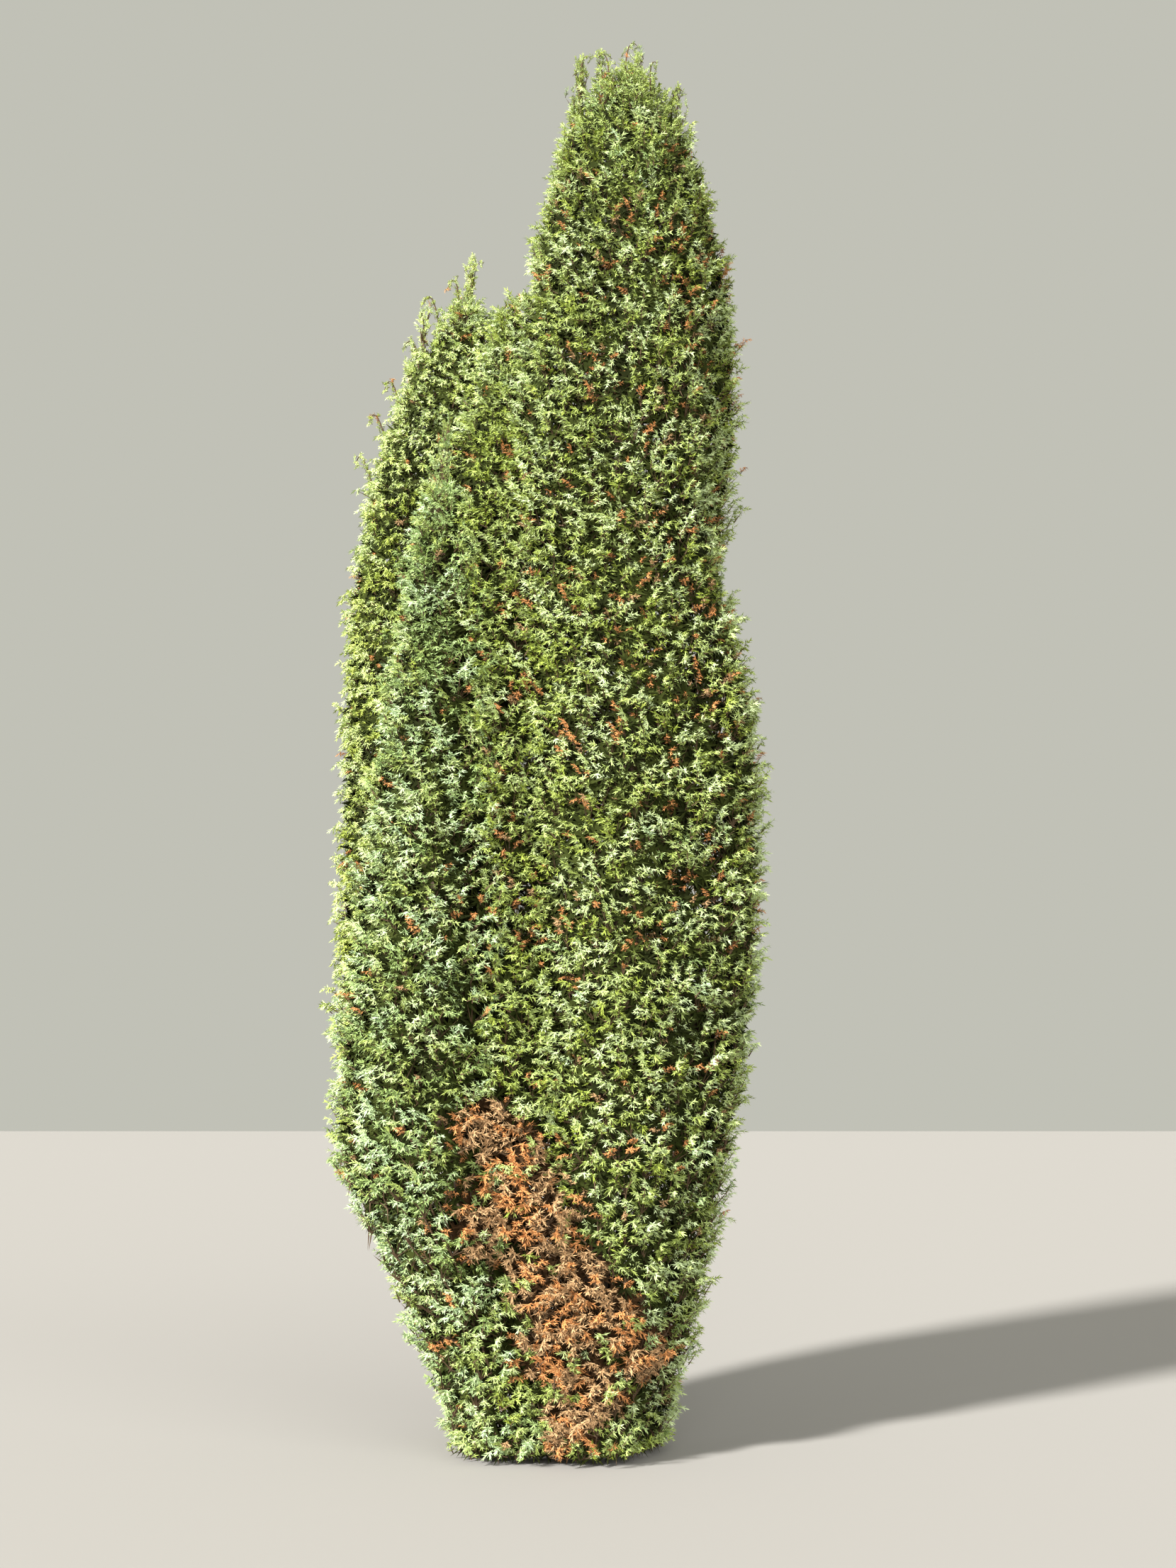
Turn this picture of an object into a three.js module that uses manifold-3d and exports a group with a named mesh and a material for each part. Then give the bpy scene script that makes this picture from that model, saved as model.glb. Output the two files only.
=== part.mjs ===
// A columnar juniper: an evergreen clump with three upright columns of foliage on one root, about 7 m tall.
// Millimetres, +Z up, -Y to the front. The origin is the middle of the flat cut under the trunk.
import * as THREE from "three";
import { mergeVertices } from "three/addons/utils/BufferGeometryUtils.js";
import Module from "manifold-3d";

const wasm = await Module();
wasm.setup();

// Driving dimensions of the limbs
const TRUNK_RADIUS = 108;
const STEM_RADIUS = 76;
const TIP_RADIUS = 13;
const TRUNK_TAPER = 0.9; // powers of the share of a limb's height that is left
const STEM_TAPER = 0.8;
const FLARE = 0.5; // extra radius at the ground, as a share of the trunk's
const FLARE_HEIGHT = 190;
const BUTTRESSES = 4;
const BUTTRESS_DEPTH = 0.14;
const RING_EASE = 0.4; // how much closer a limb's rings stand at its foot
const PATH_STEPS = 96;

// Driving dimensions of the foliage
const RIBS = 5; // upright ribs round a column, which make its outline uneven
const RIB_DEPTH = 0.05;
const RIB_TWIST = 0.0011; // radians a millimetre
const CORE_SHARE = 0.8; // of the column's reach
const CORE_UNEVEN = 0.1; // how far every second corner of a core is drawn in
const CORE_SIDES = 12;
const CORE_RING_SPACING = 430;
const EXPOSED_SHARE = 0.95; // sprays stand where they aren't within this share of another column's reach
const SPRAY_SHARE = 0.8; // a spray's length over the column's reach
const LENGTH_SPREAD = 0.2;
const LONGEST_SPRAY = 420;
const SHORTEST_SPRAY = 340;
const SPRAY_WIDTH = 0.4; // half the width over the length
const SPRAY_THICKNESS = 0.07;
const SPRAY_MIDDLE = 0.46; // where the blade is thickest, over its length
const NOD = 0.14; // how far a spray arches over from root to tip, over its length
const LEAST_LEAN = 0.45; // how far out a spray grows over how far up
const MOST_LEAN = 0.75;
const SPRAY_TURN = 0.75; // radians that a spray's face is turned from the column's surface, to either side
const SPRAY_FITS = [[1, 0], [0.85, 0.12], [0.85, 0.25], [0.7, 0.25]]; // [size, draw to its mass's middle]
const SPRAY_SPACING = 1.14; // between sprays on the surface, over their length
const ROOT_PULL = 0.3; // how far a spray's root is drawn towards its mass's site
const TIP_SPRAY_ROOT = 0.2; // where a leader's last spray is rooted, from its site to its tip
const TIP_TWIG_END = 0.45;
const TWIG_RADIUS = 18;
const TWIG_SIDES = 3;
const BRANCH_RADIUS = 24;
const LEADER_BRANCH_RADIUS = 10;
const BRANCH_TAPER = 0.7;
const BRANCH_SIDES = 5;
const BRANCH_SLOPE = 1.7; // how much a branch rises over how far it runs out
const LOWEST_BRANCH = 120; // above its limb's foot
const SITE_SHARE = 0.5; // how far out from the column's axis a mass's site is, over the reach
const SEED = 7;

// Clearances
const TOUCH = 0.3; // between pieces that meet
const LIMB_CLEARANCE = 30; // from a limb to the corners of the eight-sided tube that is kept free round it
const TUBE_SIDES = 8;
const TUBE_RINGS = 13;
const BRANCH_CLEARANCE = 4;
const CELL_CLEARANCE = 6; // from a core to the edge of its mass's own space
const SPRAY_CLEARANCE = 2;
const GROUND_CLEARANCE = 35;

// Fineness of the solids
const MERGE_DISTANCE = 1e-3;
const ROUNDING = 1e-6;
const SMALLEST_DETAIL = 0.2;
const FOLIAGE_DETAIL = 1.5; // less than the clearances round a mass

const UP = new THREE.Vector3(0, 0, 1);
const CYLINDER_AXIS = new THREE.Vector3(0, 1, 0);
const GOLDEN_ANGLE = Math.PI * (3 - Math.sqrt(5));
const HEIGHT_WEIGHT = 0.55; // heights count this much when points are dealt to the nearest mass

// Colours
const BARK = new THREE.Color(0.3, 0.235, 0.19);
const GREEN = new THREE.Color(0.27, 0.37, 0.15);
const BLUE_GREEN = new THREE.Color(0.3, 0.4, 0.27);
const YELLOW_GREEN = new THREE.Color(0.42, 0.48, 0.18);
const DEAD_BROWN = new THREE.Color(0.45, 0.27, 0.14);
const ROUGHNESS = 0.8;

// The limbs. A path is the line that the limb's middle follows, and each limb runs up it from its foot.
const LIMBS = [
  {
    name: "trunk",
    path: [[0, 0, 0], [75, 5, 700], [210, 25, 1800], [310, 40, 3000], [270, 40, 4200], [300, 40, 5400],
      [330, 30, 6450]],
    sides: 16,
    rings: 24,
  },
  {
    name: "stem_front_left",
    path: [[0, 0, 150], [-210, -90, 560], [-450, -180, 1100], [-620, -230, 1900], [-620, -235, 3000],
      [-590, -230, 4260]],
    sides: 9,
    rings: 17,
  },
  {
    name: "stem_rear_left",
    path: [[0, 0, 150], [-150, 150, 560], [-390, 320, 1150], [-620, 420, 2000], [-710, 440, 3200],
      [-700, 440, 4400], [-600, 420, 5400]],
    sides: 9,
    rings: 20,
  },
];

// The columns of foliage. A column's reach is [height, radius] from its axis.
// Its masses stand in tiers, with one mass to each sector round the axis, and turn from tier to tier.
// The last column has none of its own: it fills the grooves where the three others press together.
const COLUMNS = [
  {
    name: "main",
    limb: "trunk",
    colour: GREEN,
    axis: [[60, -20, 60], [150, 0, 900], [270, 20, 2100], [290, 40, 3300], [205, 40, 4250], [295, 40, 5300],
      [295, 30, 6800]],
    reach: [[60, 440], [600, 540], [1500, 640], [2400, 710], [3400, 720], [4180, 640], [4800, 650],
      [5650, 590], [6150, 490], [6500, 390], [6800, 270]],
    depth: 1.06,
    tiers: [600, 1900, 3180, 4430, 5640],
    sectors: 3,
    firstAngle: -Math.PI * 0.38,
  },
  {
    name: "front_left",
    limb: "stem_front_left",
    colour: BLUE_GREEN,
    axis: [[-270, -110, 60], [-390, -160, 600], [-625, -240, 1350], [-630, -260, 2200], [-590, -260, 3400],
      [-600, -250, 4600]],
    reach: [[60, 310], [600, 380], [1300, 480], [2200, 440], [3400, 350], [4100, 270], [4450, 190]],
    depth: 1.1,
    tiers: [620, 1900, 3250],
    sectors: 2,
    firstAngle: -Math.PI / 2,
  },
  {
    name: "rear_left",
    limb: "stem_rear_left",
    colour: YELLOW_GREEN,
    axis: [[-230, 180, 80], [-360, 300, 600], [-670, 410, 1500], [-715, 440, 3000], [-700, 440, 4400],
      [-560, 430, 5750]],
    reach: [[80, 300], [800, 420], [1700, 490], [3000, 510], [4200, 510], [4900, 440], [5400, 330],
      [5750, 180]],
    depth: 1,
    tiers: [700, 1960, 3240, 4520],
    sectors: 2,
    firstAngle: Math.PI,
  },
  {
    name: "groove",
    limb: "trunk",
    colour: GREEN,
    axis: [[-90, -140, 100], [-120, -220, 700], [-200, -250, 1400], [-270, -190, 2300], [-300, -180, 3400],
      [-330, -100, 4400], [-280, 60, 5200], [-240, 120, 5600]],
    reach: [[100, 290], [700, 350], [1400, 360], [2300, 350], [3400, 360], [4400, 360], [5200, 280],
      [5600, 200]],
    depth: 1.1,
    tiers: [],
    sectors: 0,
    firstAngle: 0,
  },
];

// Leaders are the narrow tips of the columns: [name, its column, foot, tip, radius].
const LEADERS = [
  ["leader_left", "main", [60, 10, 6000], [55, 0, 7000], 190],
  ["leader_thin", "main", [200, -200, 6150], [160, -150, 6930], 110],
  ["leader_centre", "main", [320, -20, 6000], [355, 10, 7050], 200],
  ["leader_right", "main", [540, 30, 5950], [565, 0, 6830], 170],
  ["leader_back", "main", [310, 300, 5950], [320, 290, 6850], 190],
  ["tip_front_left", "front_left", [-600, -250, 3900], [-600, -240, 4870], 200],
  ["tip_rear_left", "rear_left", [-620, 430, 5000], [-535, 410, 6080], 160],
  ["tip_rear_outer", "rear_left", [-820, 400, 4900], [-775, 370, 5780], 180],
];
const LEADER_SITE = 0.45; // where a leader's site is between its foot and tip
const LEADER_PROFILE = [[-0.1, 0.8], [0.05, 1], [0.5, 0.74], [0.8, 0.42], [1, 0.2]]; // [of height, of radius]

// The masses that are dead and brown, low at the front
const DEAD_MASSES = ["main_1_front"];

const DIRECTIONS = ["right", "back_right", "back", "back_left", "left", "front_left", "front", "front_right"];

function seededRandom(seed) {
  let state = seed >>> 0;
  return () => {
    state = (state + 0x6d2b79f5) >>> 0;
    let mixed = Math.imul(state ^ (state >>> 15), 1 | state);
    mixed = (mixed + Math.imul(mixed ^ (mixed >>> 7), 61 | mixed)) ^ mixed;
    return ((mixed ^ (mixed >>> 14)) >>> 0) / 4294967296;
  };
}

// Reads a value between two stations that are sorted by their height.
function atHeight(stations, heightOf, valueOf, height) {
  let upper = stations.findIndex((station) => heightOf(station) >= height);
  if (upper < 0) upper = stations.length - 1;
  const lower = Math.max(upper - 1, 0);
  const gap = heightOf(stations[upper]) - heightOf(stations[lower]);
  const share = gap > 0 ? THREE.MathUtils.clamp((height - heightOf(stations[lower])) / gap, 0, 1) : 1;
  return THREE.MathUtils.lerp(valueOf(stations[lower]), valueOf(stations[upper]), share);
}

// The points of a smooth line through the given ones, close enough to be read by height.
function smoothLine(points) {
  const curve = new THREE.CatmullRomCurve3(points.map((p) => new THREE.Vector3(...p)), false, "catmullrom");
  return curve.getPoints(PATH_STEPS);
}

function lineAt(line, height) {
  const read = (key) => atHeight(line, (point) => point.z, (point) => point[key], height);
  return new THREE.Vector3(read("x"), read("y"), height);
}

function reachAt(column, height, angle) {
  const plain = atHeight(column.reach, (station) => station[0], (station) => station[1], height);
  return plain * (1 + RIB_DEPTH * Math.cos(RIBS * angle + RIB_TWIST * height));
}

function surfacePoint(column, height, angle) {
  const reach = reachAt(column, height, angle);
  const offset = new THREE.Vector3(Math.cos(angle) * reach, Math.sin(angle) * reach * column.depth, 0);
  return lineAt(column.line, height).add(offset);
}

function insideColumn(column, point, share) {
  if (point.z < column.bottom || point.z > column.top) return false;
  const offset = point.clone().sub(lineAt(column.line, point.z));
  offset.y /= column.depth;
  return Math.hypot(offset.x, offset.y) <= share * reachAt(column, point.z, Math.atan2(offset.y, offset.x));
}

function withLine(column) {
  const { axis, reach } = column;
  return { ...column, line: smoothLine(axis), bottom: reach[0][0], top: reach[reach.length - 1][0] };
}

// A leader is a narrow column of one mass.
function leaderColumn([name, parentName, foot, tip, radius]) {
  const parent = COLUMNS.find((column) => column.name === parentName);
  const heightAt = (share) => THREE.MathUtils.lerp(foot[2], tip[2], share);
  return {
    name,
    limb: parent.limb,
    colour: parent.colour,
    axis: [foot, tip],
    reach: LEADER_PROFILE.map(([share, width]) => [heightAt(share), width * radius]),
    depth: 1,
    tiers: [heightAt(LEADER_SITE)],
    sectors: 1,
    firstAngle: 0,
    isLeader: true,
  };
}

function shortestTurn(from, to) {
  return THREE.MathUtils.euclideanModulo(to - from + Math.PI, 2 * Math.PI) - Math.PI;
}

function directionName(angle) {
  const turns = Math.round(angle / (Math.PI / 4));
  return DIRECTIONS[THREE.MathUtils.euclideanModulo(turns, DIRECTIONS.length)];
}

// A column's masses, each with the site that its own space is nearest to.
function massesOf(column) {
  const made = [];
  column.tiers.forEach((height, tier) => {
    for (let sector = 0; sector < column.sectors; sector++) {
      const turn = (Math.PI / column.sectors) * (tier % 2);
      const angle = column.firstAngle + turn + (sector * 2 * Math.PI) / column.sectors;
      const middle = lineAt(column.line, height);
      const site = middle.lerp(surfacePoint(column, height, angle), column.isLeader ? 0 : SITE_SHARE);
      const name = column.isLeader ? column.name : `${column.name}_${tier + 1}_${directionName(angle)}`;
      made.push({ name, column, site });
    }
  });
  return made;
}

const limbs = LIMBS.map((limb) => {
  const line = smoothLine(limb.path);
  return { ...limb, line, bottom: line[0].z, top: line[PATH_STEPS].z };
});
const columns = [...COLUMNS, ...LEADERS.map(leaderColumn)].map(withLine);
const masses = columns.flatMap(massesOf);

// The plane halfway between two sites. Heights count less, so spaces are tall.
function planeBetween(mass, other) {
  const normal = mass.site.clone().sub(other.site);
  normal.z *= HEIGHT_WEIGHT;
  normal.normalize();
  return { normal, offset: mass.site.clone().add(other.site).multiplyScalar(0.5).dot(normal) };
}

function depthInSpace(mass, other, point) {
  const { normal, offset } = planeBetween(mass, other);
  return point.dot(normal) - offset;
}

function ownsPoint(mass, point, margin) {
  return masses.every((other) => other === mass || depthInSpace(mass, other, point) > margin);
}

// A mass keeps to the part of the crown that is nearest to its site.
function inOwnSpace(mass, point) {
  if (point.z < GROUND_CLEARANCE) return false;
  if (!columns.some((column) => insideColumn(column, point, 1 + ROUNDING))) return false;
  return ownsPoint(mass, point, SPRAY_CLEARANCE);
}

function solidFrom(vertProperties, triVerts) {
  return new wasm.Manifold(new wasm.Mesh({ numProp: 3, vertProperties, triVerts }));
}

function solidOf(geometry) {
  const bare = new THREE.BufferGeometry();
  const loose = geometry.index ? geometry.toNonIndexed() : geometry;
  bare.setAttribute("position", loose.getAttribute("position"));
  const merged = mergeVertices(bare, MERGE_DISTANCE);
  return solidFrom(merged.getAttribute("position").array, new Uint32Array(merged.index.array));
}

function meshOf(solid, name, colour) {
  const { vertProperties, triVerts } = solid.getMesh();
  const geometry = new THREE.BufferGeometry();
  geometry.setAttribute("position", new THREE.BufferAttribute(new Float32Array(vertProperties), 3));
  geometry.setIndex(new THREE.BufferAttribute(new Uint32Array(triVerts), 1));
  geometry.computeVertexNormals();
  const material = new THREE.MeshStandardMaterial({ color: colour, roughness: ROUGHNESS, metalness: 0 });
  const mesh = new THREE.Mesh(geometry, material);
  mesh.name = name;
  return mesh;
}

// How much the root flare and its buttresses swell the trunk.
function rootSwell(height, angle) {
  const flare = Math.exp(-height / FLARE_HEIGHT);
  return (1 + FLARE * flare) * (1 + BUTTRESS_DEPTH * flare * Math.cos(BUTTRESSES * angle));
}

function limbRadius(limb, height, angle) {
  const left = Math.max(1 - height / limb.top, 0);
  if (limb.name !== "trunk") return TIP_RADIUS + STEM_RADIUS * Math.pow(left, STEM_TAPER);
  return (TIP_RADIUS + TRUNK_RADIUS * Math.pow(left, TRUNK_TAPER)) * rootSwell(height, angle);
}

// A limb is a cylinder whose rings stay level and are moved along its path. It can be grown by a clearance.
function limbSolid(limb, grow, sides = limb.sides, rings = limb.rings) {
  const geometry = new THREE.CylinderGeometry(1, 1, 1, sides, rings);
  const position = geometry.getAttribute("position");
  for (let i = 0; i < position.count; i++) {
    const share = position.getY(i) + 0.5;
    const height = THREE.MathUtils.lerp(limb.bottom, limb.top, share * (1 - RING_EASE * (1 - share)));
    const angle = Math.atan2(position.getX(i), position.getZ(i));
    const centre = lineAt(limb.line, height);
    const outer = Math.hypot(position.getX(i), position.getZ(i));
    const radius = outer * (limbRadius(limb, height, angle) + grow);
    const beyond = share > 1 - ROUNDING ? grow : share < ROUNDING ? -grow : 0;
    const [x, y] = [centre.x + radius * Math.sin(angle), centre.y - radius * Math.cos(angle)];
    position.setXYZ(i, x, y, height + beyond);
  }
  return solidOf(geometry);
}

// A straight tapered stick between two points.
function stickSolid(from, to, radiusFrom, radiusTo, sides) {
  const along = to.clone().sub(from);
  const geometry = new THREE.CylinderGeometry(radiusTo, radiusFrom, along.length(), sides, 1);
  const direction = along.clone().normalize();
  geometry.applyQuaternion(new THREE.Quaternion().setFromUnitVectors(CYLINDER_AXIS, direction));
  geometry.translate(...from.clone().add(to).multiplyScalar(0.5).toArray());
  return solidOf(geometry);
}

// A spray's outline as [across, along], from its root up one toothed side to the tip and down the other.
const SPRAY_OUTLINE = [[0, 0], [0.9, 0.36], [0.38, 0.54], [0, 1], [-0.36, 0.7], [-0.95, 0.62]];

// The corners of a toothed blade that stands for a spray of needles: its outline, then its two middles.
function sprayCorners(root, tip, across) {
  const along = tip.clone().sub(root);
  const length = along.length();
  const grow = along.clone().normalize();
  const sideways = across.clone().addScaledVector(grow, -across.dot(grow)).normalize();
  const face = sideways.clone().cross(grow).normalize();
  const place = (side, rise, out) => root.clone()
    .addScaledVector(sideways, side * SPRAY_WIDTH * length)
    .addScaledVector(grow, rise * length)
    .addScaledVector(face, (out - 4 * NOD * rise * (1 - rise)) * length);
  const corners = SPRAY_OUTLINE.map(([side, rise]) => place(side, rise, 0));
  corners.push(place(0, SPRAY_MIDDLE, SPRAY_THICKNESS / 2), place(0, SPRAY_MIDDLE, -SPRAY_THICKNESS / 2));
  return corners;
}

function spraySolid(corners) {
  const rim = corners.length - 2;
  const triangles = [];
  for (let i = 0; i < rim; i++) {
    const next = (i + 1) % rim;
    triangles.push(corners[i], corners[next], corners[rim], corners[next], corners[i], corners[rim + 1]);
  }
  return solidOf(new THREE.BufferGeometry().setFromPoints(triangles));
}

// A column's core: level rings at a share of its reach, on which every second corner is drawn in.
function columnCore(column) {
  const rings = Math.ceil((column.top - column.bottom) / CORE_RING_SPACING) + 1;
  const geometry = new THREE.CylinderGeometry(1, 1, 1, CORE_SIDES, rings);
  const position = geometry.getAttribute("position");
  for (let i = 0; i < position.count; i++) {
    const share = position.getY(i) + 0.5;
    const height = THREE.MathUtils.lerp(column.bottom, column.top, share);
    const angle = Math.atan2(-position.getZ(i), position.getX(i));
    const corner = Math.round((angle * CORE_SIDES) / (2 * Math.PI)) + Math.round(share * rings);
    const drawn = corner % 2 === 0 ? CORE_SHARE : CORE_SHARE * (1 - CORE_UNEVEN);
    const outer = drawn * Math.hypot(position.getX(i), position.getZ(i));
    const place = lineAt(column.line, height).lerp(surfacePoint(column, height, angle), outer);
    position.setXYZ(i, ...place.toArray());
  }
  return solidOf(geometry);
}

// What a solid has in a mass's own space. The crown's core gives each mass its core in this way.
function trimmedToSpace(solid, mass, clearance) {
  return masses.reduce((left, other) => {
    if (other === mass) return left;
    const { normal, offset } = planeBetween(mass, other);
    return left.trimByPlane(normal.toArray(), offset + clearance);
  }, solid);
}

// Sprays end at even distances on the column's surface, on a spiral that turns by the golden angle.
function sprayPlaces(column) {
  const random = seededRandom(SEED);
  const places = [];
  let height = column.bottom + SHORTEST_SPRAY;
  let angle = column.firstAngle;
  while (height < column.top) {
    const reach = reachAt(column, height, angle);
    const usual = THREE.MathUtils.clamp(reach * SPRAY_SHARE, SHORTEST_SPRAY, LONGEST_SPRAY);
    const length = usual * (1 + LENGTH_SPREAD * (random() - 0.5));
    const lean = THREE.MathUtils.lerp(LEAST_LEAN, MOST_LEAN, random());
    places.push({ height, angle, length, lean, side: places.length % 2 ? 1 : -1 });
    height += Math.pow(length * SPRAY_SPACING, 2) / (2 * Math.PI * reach);
    angle += GOLDEN_ANGLE;
  }
  return places;
}

function isExposed(column, point) {
  return columns.every((other) => other === column || !insideColumn(other, point, EXPOSED_SHARE));
}

// A spray whose tip is on its column's surface and whose root is sunk in the core. Where it would leave its
// mass's space, it is made smaller and its tip is drawn towards the height and angle of the mass's middle.
function fittedSpray(mass, column, { height, angle, length, lean, side }) {
  const fromAxis = mass.site.clone().sub(lineAt(column.line, mass.site.z));
  const turnToMiddle = column.isLeader ? 0 : shortestTurn(angle, Math.atan2(fromAxis.y, fromAxis.x));
  for (const [size, drawn] of SPRAY_FITS) {
    const tipHeight = THREE.MathUtils.lerp(height, mass.site.z, drawn);
    const tip = surfacePoint(column, tipHeight, angle + drawn * turnToMiddle);
    const outward = tip.clone().sub(lineAt(column.line, tipHeight)).normalize();
    const grow = outward.clone().multiplyScalar(lean).add(UP).normalize();
    const across = UP.clone().cross(outward).normalize().applyAxisAngle(grow, side * SPRAY_TURN);
    const root = tip.clone().addScaledVector(grow, -length * size).lerp(mass.site, ROOT_PULL);
    const corners = sprayCorners(root, tip, across);
    if (corners.every((corner) => inOwnSpace(mass, corner))) return [spraySolid(corners)];
  }
  return [];
}

// The sprays of every column that stand in a mass's own space
function spraysOf(mass) {
  return columns.flatMap((column) => sprayPlaces(column).flatMap((place) => {
    const point = surfacePoint(column, place.height, place.angle);
    if (!ownsPoint(mass, point, 0) || !isExposed(column, point)) return [];
    return fittedSpray(mass, column, place);
  }));
}

// The twig and spray that end a leader at its very tip.
function leaderTip(mass) {
  const tip = mass.column.line[PATH_STEPS];
  const root = mass.site.clone().lerp(tip, TIP_SPRAY_ROOT);
  const twigEnd = mass.site.clone().lerp(tip, TIP_TWIG_END);
  const spray = spraySolid(sprayCorners(root, tip, new THREE.Vector3(1, 0, 0)));
  const twig = stickSolid(mass.site, twigEnd, TWIG_RADIUS, TWIG_RADIUS / 2, TWIG_SIDES);
  return [twig, trimmedToSpace(spray, mass, SPRAY_CLEARANCE)];
}

// A mass's branch runs from inside its limb to its site, and is trimmed 0.3 mm clear of the limb.
function branchSolid(mass, grow) {
  const limb = limbs.find(({ name }) => name === mass.column.limb);
  const run = mass.site.distanceTo(lineAt(limb.line, mass.site.z));
  const highest = Math.min(mass.site.z - run * BRANCH_SLOPE, limb.top - TIP_RADIUS);
  const start = lineAt(limb.line, Math.max(highest, limb.bottom + LOWEST_BRANCH));
  const radius = mass.column.isLeader ? LEADER_BRANCH_RADIUS : BRANCH_RADIUS;
  const stick = stickSolid(start, mass.site, radius + grow, radius * BRANCH_TAPER + grow, BRANCH_SIDES);
  return stick.subtract(touching.get(limb.name));
}

function largest(solid) {
  return solid.decompose().reduce((best, piece) => (piece.volume() > best.volume() ? piece : best));
}

function boxesMeet(a, b) {
  const [first, second] = [a.boundingBox(), b.boundingBox()];
  return [0, 1, 2].every((k) => first.min[k] < second.max[k] && second.min[k] < first.max[k]);
}

function massSolid(mass) {
  const parts = [trimmedToSpace(crownCore, mass, CELL_CLEARANCE), ...spraysOf(mass)];
  if (mass.column.isLeader) parts.push(...leaderTip(mass));
  let body = parts.reduce((whole, part) => whole.add(part));
  for (const limb of limbClearances) {
    if (boxesMeet(body, limb)) body = body.subtract(limb);
  }
  for (const [other, branch] of branchClearances) {
    if (other !== mass && boxesMeet(body, branch)) body = body.subtract(branch);
  }
  return largest(body.simplify(FOLIAGE_DETAIL).add(branches.get(mass))).simplify(SMALLEST_DETAIL);
}

// The limbs, and the same limbs grown by a clearance. Where a stem forks from another limb, it is trimmed.
const touching = new Map(limbs.map((limb) => [limb.name, limbSolid(limb, TOUCH)]));
const limbSolids = new Map();
for (const limb of limbs) {
  let solid = limbSolid(limb, 0);
  for (const name of limbSolids.keys()) solid = largest(solid.subtract(touching.get(name)));
  limbSolids.set(limb.name, solid);
}
const crownCore = columns.map(columnCore).reduce((whole, core) => whole.add(core));
const limbClearances = limbs.map((limb) => limbSolid(limb, LIMB_CLEARANCE, TUBE_SIDES, TUBE_RINGS));
const branches = new Map(masses.map((mass) => [mass, branchSolid(mass, 0)]));
const branchClearances = masses.map((mass) => [mass, branchSolid(mass, BRANCH_CLEARANCE)]);

const tree = new THREE.Group();
for (const [name, solid] of limbSolids) tree.add(meshOf(solid, name, BARK));
for (const mass of masses) {
  const colour = DEAD_MASSES.includes(mass.name) ? DEAD_BROWN : mass.column.colour;
  tree.add(meshOf(massSolid(mass), mass.name, colour));
}

export default tree;
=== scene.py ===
# A columnar juniper: an evergreen clump with three upright columns of foliage on one root, about 7 m tall.
# Metres, +Z up, -Y to the front. The origin is the middle of the flat cut under the trunk.
import math

import bpy
import numpy as np
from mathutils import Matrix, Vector


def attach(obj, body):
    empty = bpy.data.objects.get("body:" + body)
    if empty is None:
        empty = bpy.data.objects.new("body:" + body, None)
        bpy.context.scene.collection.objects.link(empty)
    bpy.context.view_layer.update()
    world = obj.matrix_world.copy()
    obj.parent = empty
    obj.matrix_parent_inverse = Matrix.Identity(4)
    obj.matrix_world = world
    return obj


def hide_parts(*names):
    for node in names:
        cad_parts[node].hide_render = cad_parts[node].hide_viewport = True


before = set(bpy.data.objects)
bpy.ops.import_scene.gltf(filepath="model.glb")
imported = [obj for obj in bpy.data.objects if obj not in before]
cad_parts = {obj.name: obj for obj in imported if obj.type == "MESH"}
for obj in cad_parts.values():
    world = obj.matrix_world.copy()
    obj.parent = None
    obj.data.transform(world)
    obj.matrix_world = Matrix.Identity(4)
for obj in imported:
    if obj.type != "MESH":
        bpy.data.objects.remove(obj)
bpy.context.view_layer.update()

# Driving dimensions of the limbs
TRUNK_RADIUS = 0.108
STEM_RADIUS = 0.076
TIP_RADIUS = 0.013
TRUNK_TAPER = 0.9
STEM_TAPER = 0.8
FLARE = 0.5
FLARE_HEIGHT = 0.19
BUTTRESSES = 4
BUTTRESS_DEPTH = 0.14
RING_EASE = 0.4
PATH_STEPS = 96
BARK_RELIEF = 0.006
BARK_STRIPS = 15

# Driving dimensions of the columns of foliage
RIBS = 5
RIB_DEPTH = 0.05
RIB_TWIST = 1.1
SITE_SHARE = 0.5
HEIGHT_WEIGHT = 0.55
EXPOSED_SHARE = 0.88  # the columns' sprays overlap a little, so that no seam stays bare
LEADER_SITE = 0.45
LEADER_PROFILE = [[-0.1, 0.8], [0.05, 1], [0.5, 0.74], [0.8, 0.42], [1, 0.2]]  # [share of height, of radius]
LEADER_FULL = 0.16  # sprays are smaller where a column is narrower than this
LEADER_SMALLEST = 0.6
CAP_RISE = 0.5  # of a column's domed top, for its reach
CAP_UPWARD = 1.1
JITTER = 0.3  # how far a place strays: in spacings on a column's side, in radians on its top
CREASE_SHARE = 1.12  # a spray this near another column lies in a crease
CREASE_INSET = 0.35  # how much of its setback it keeps there
GROUND_CLEARANCE = 0.035
LOWEST_PLACE = GROUND_CLEARANCE + 0.02
LOWEST_TIP = 0.004  # tips that nod to the ground lie on it
GOLDEN_ANGLE = math.pi * (3 - math.sqrt(5))
SEED = 7

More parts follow.
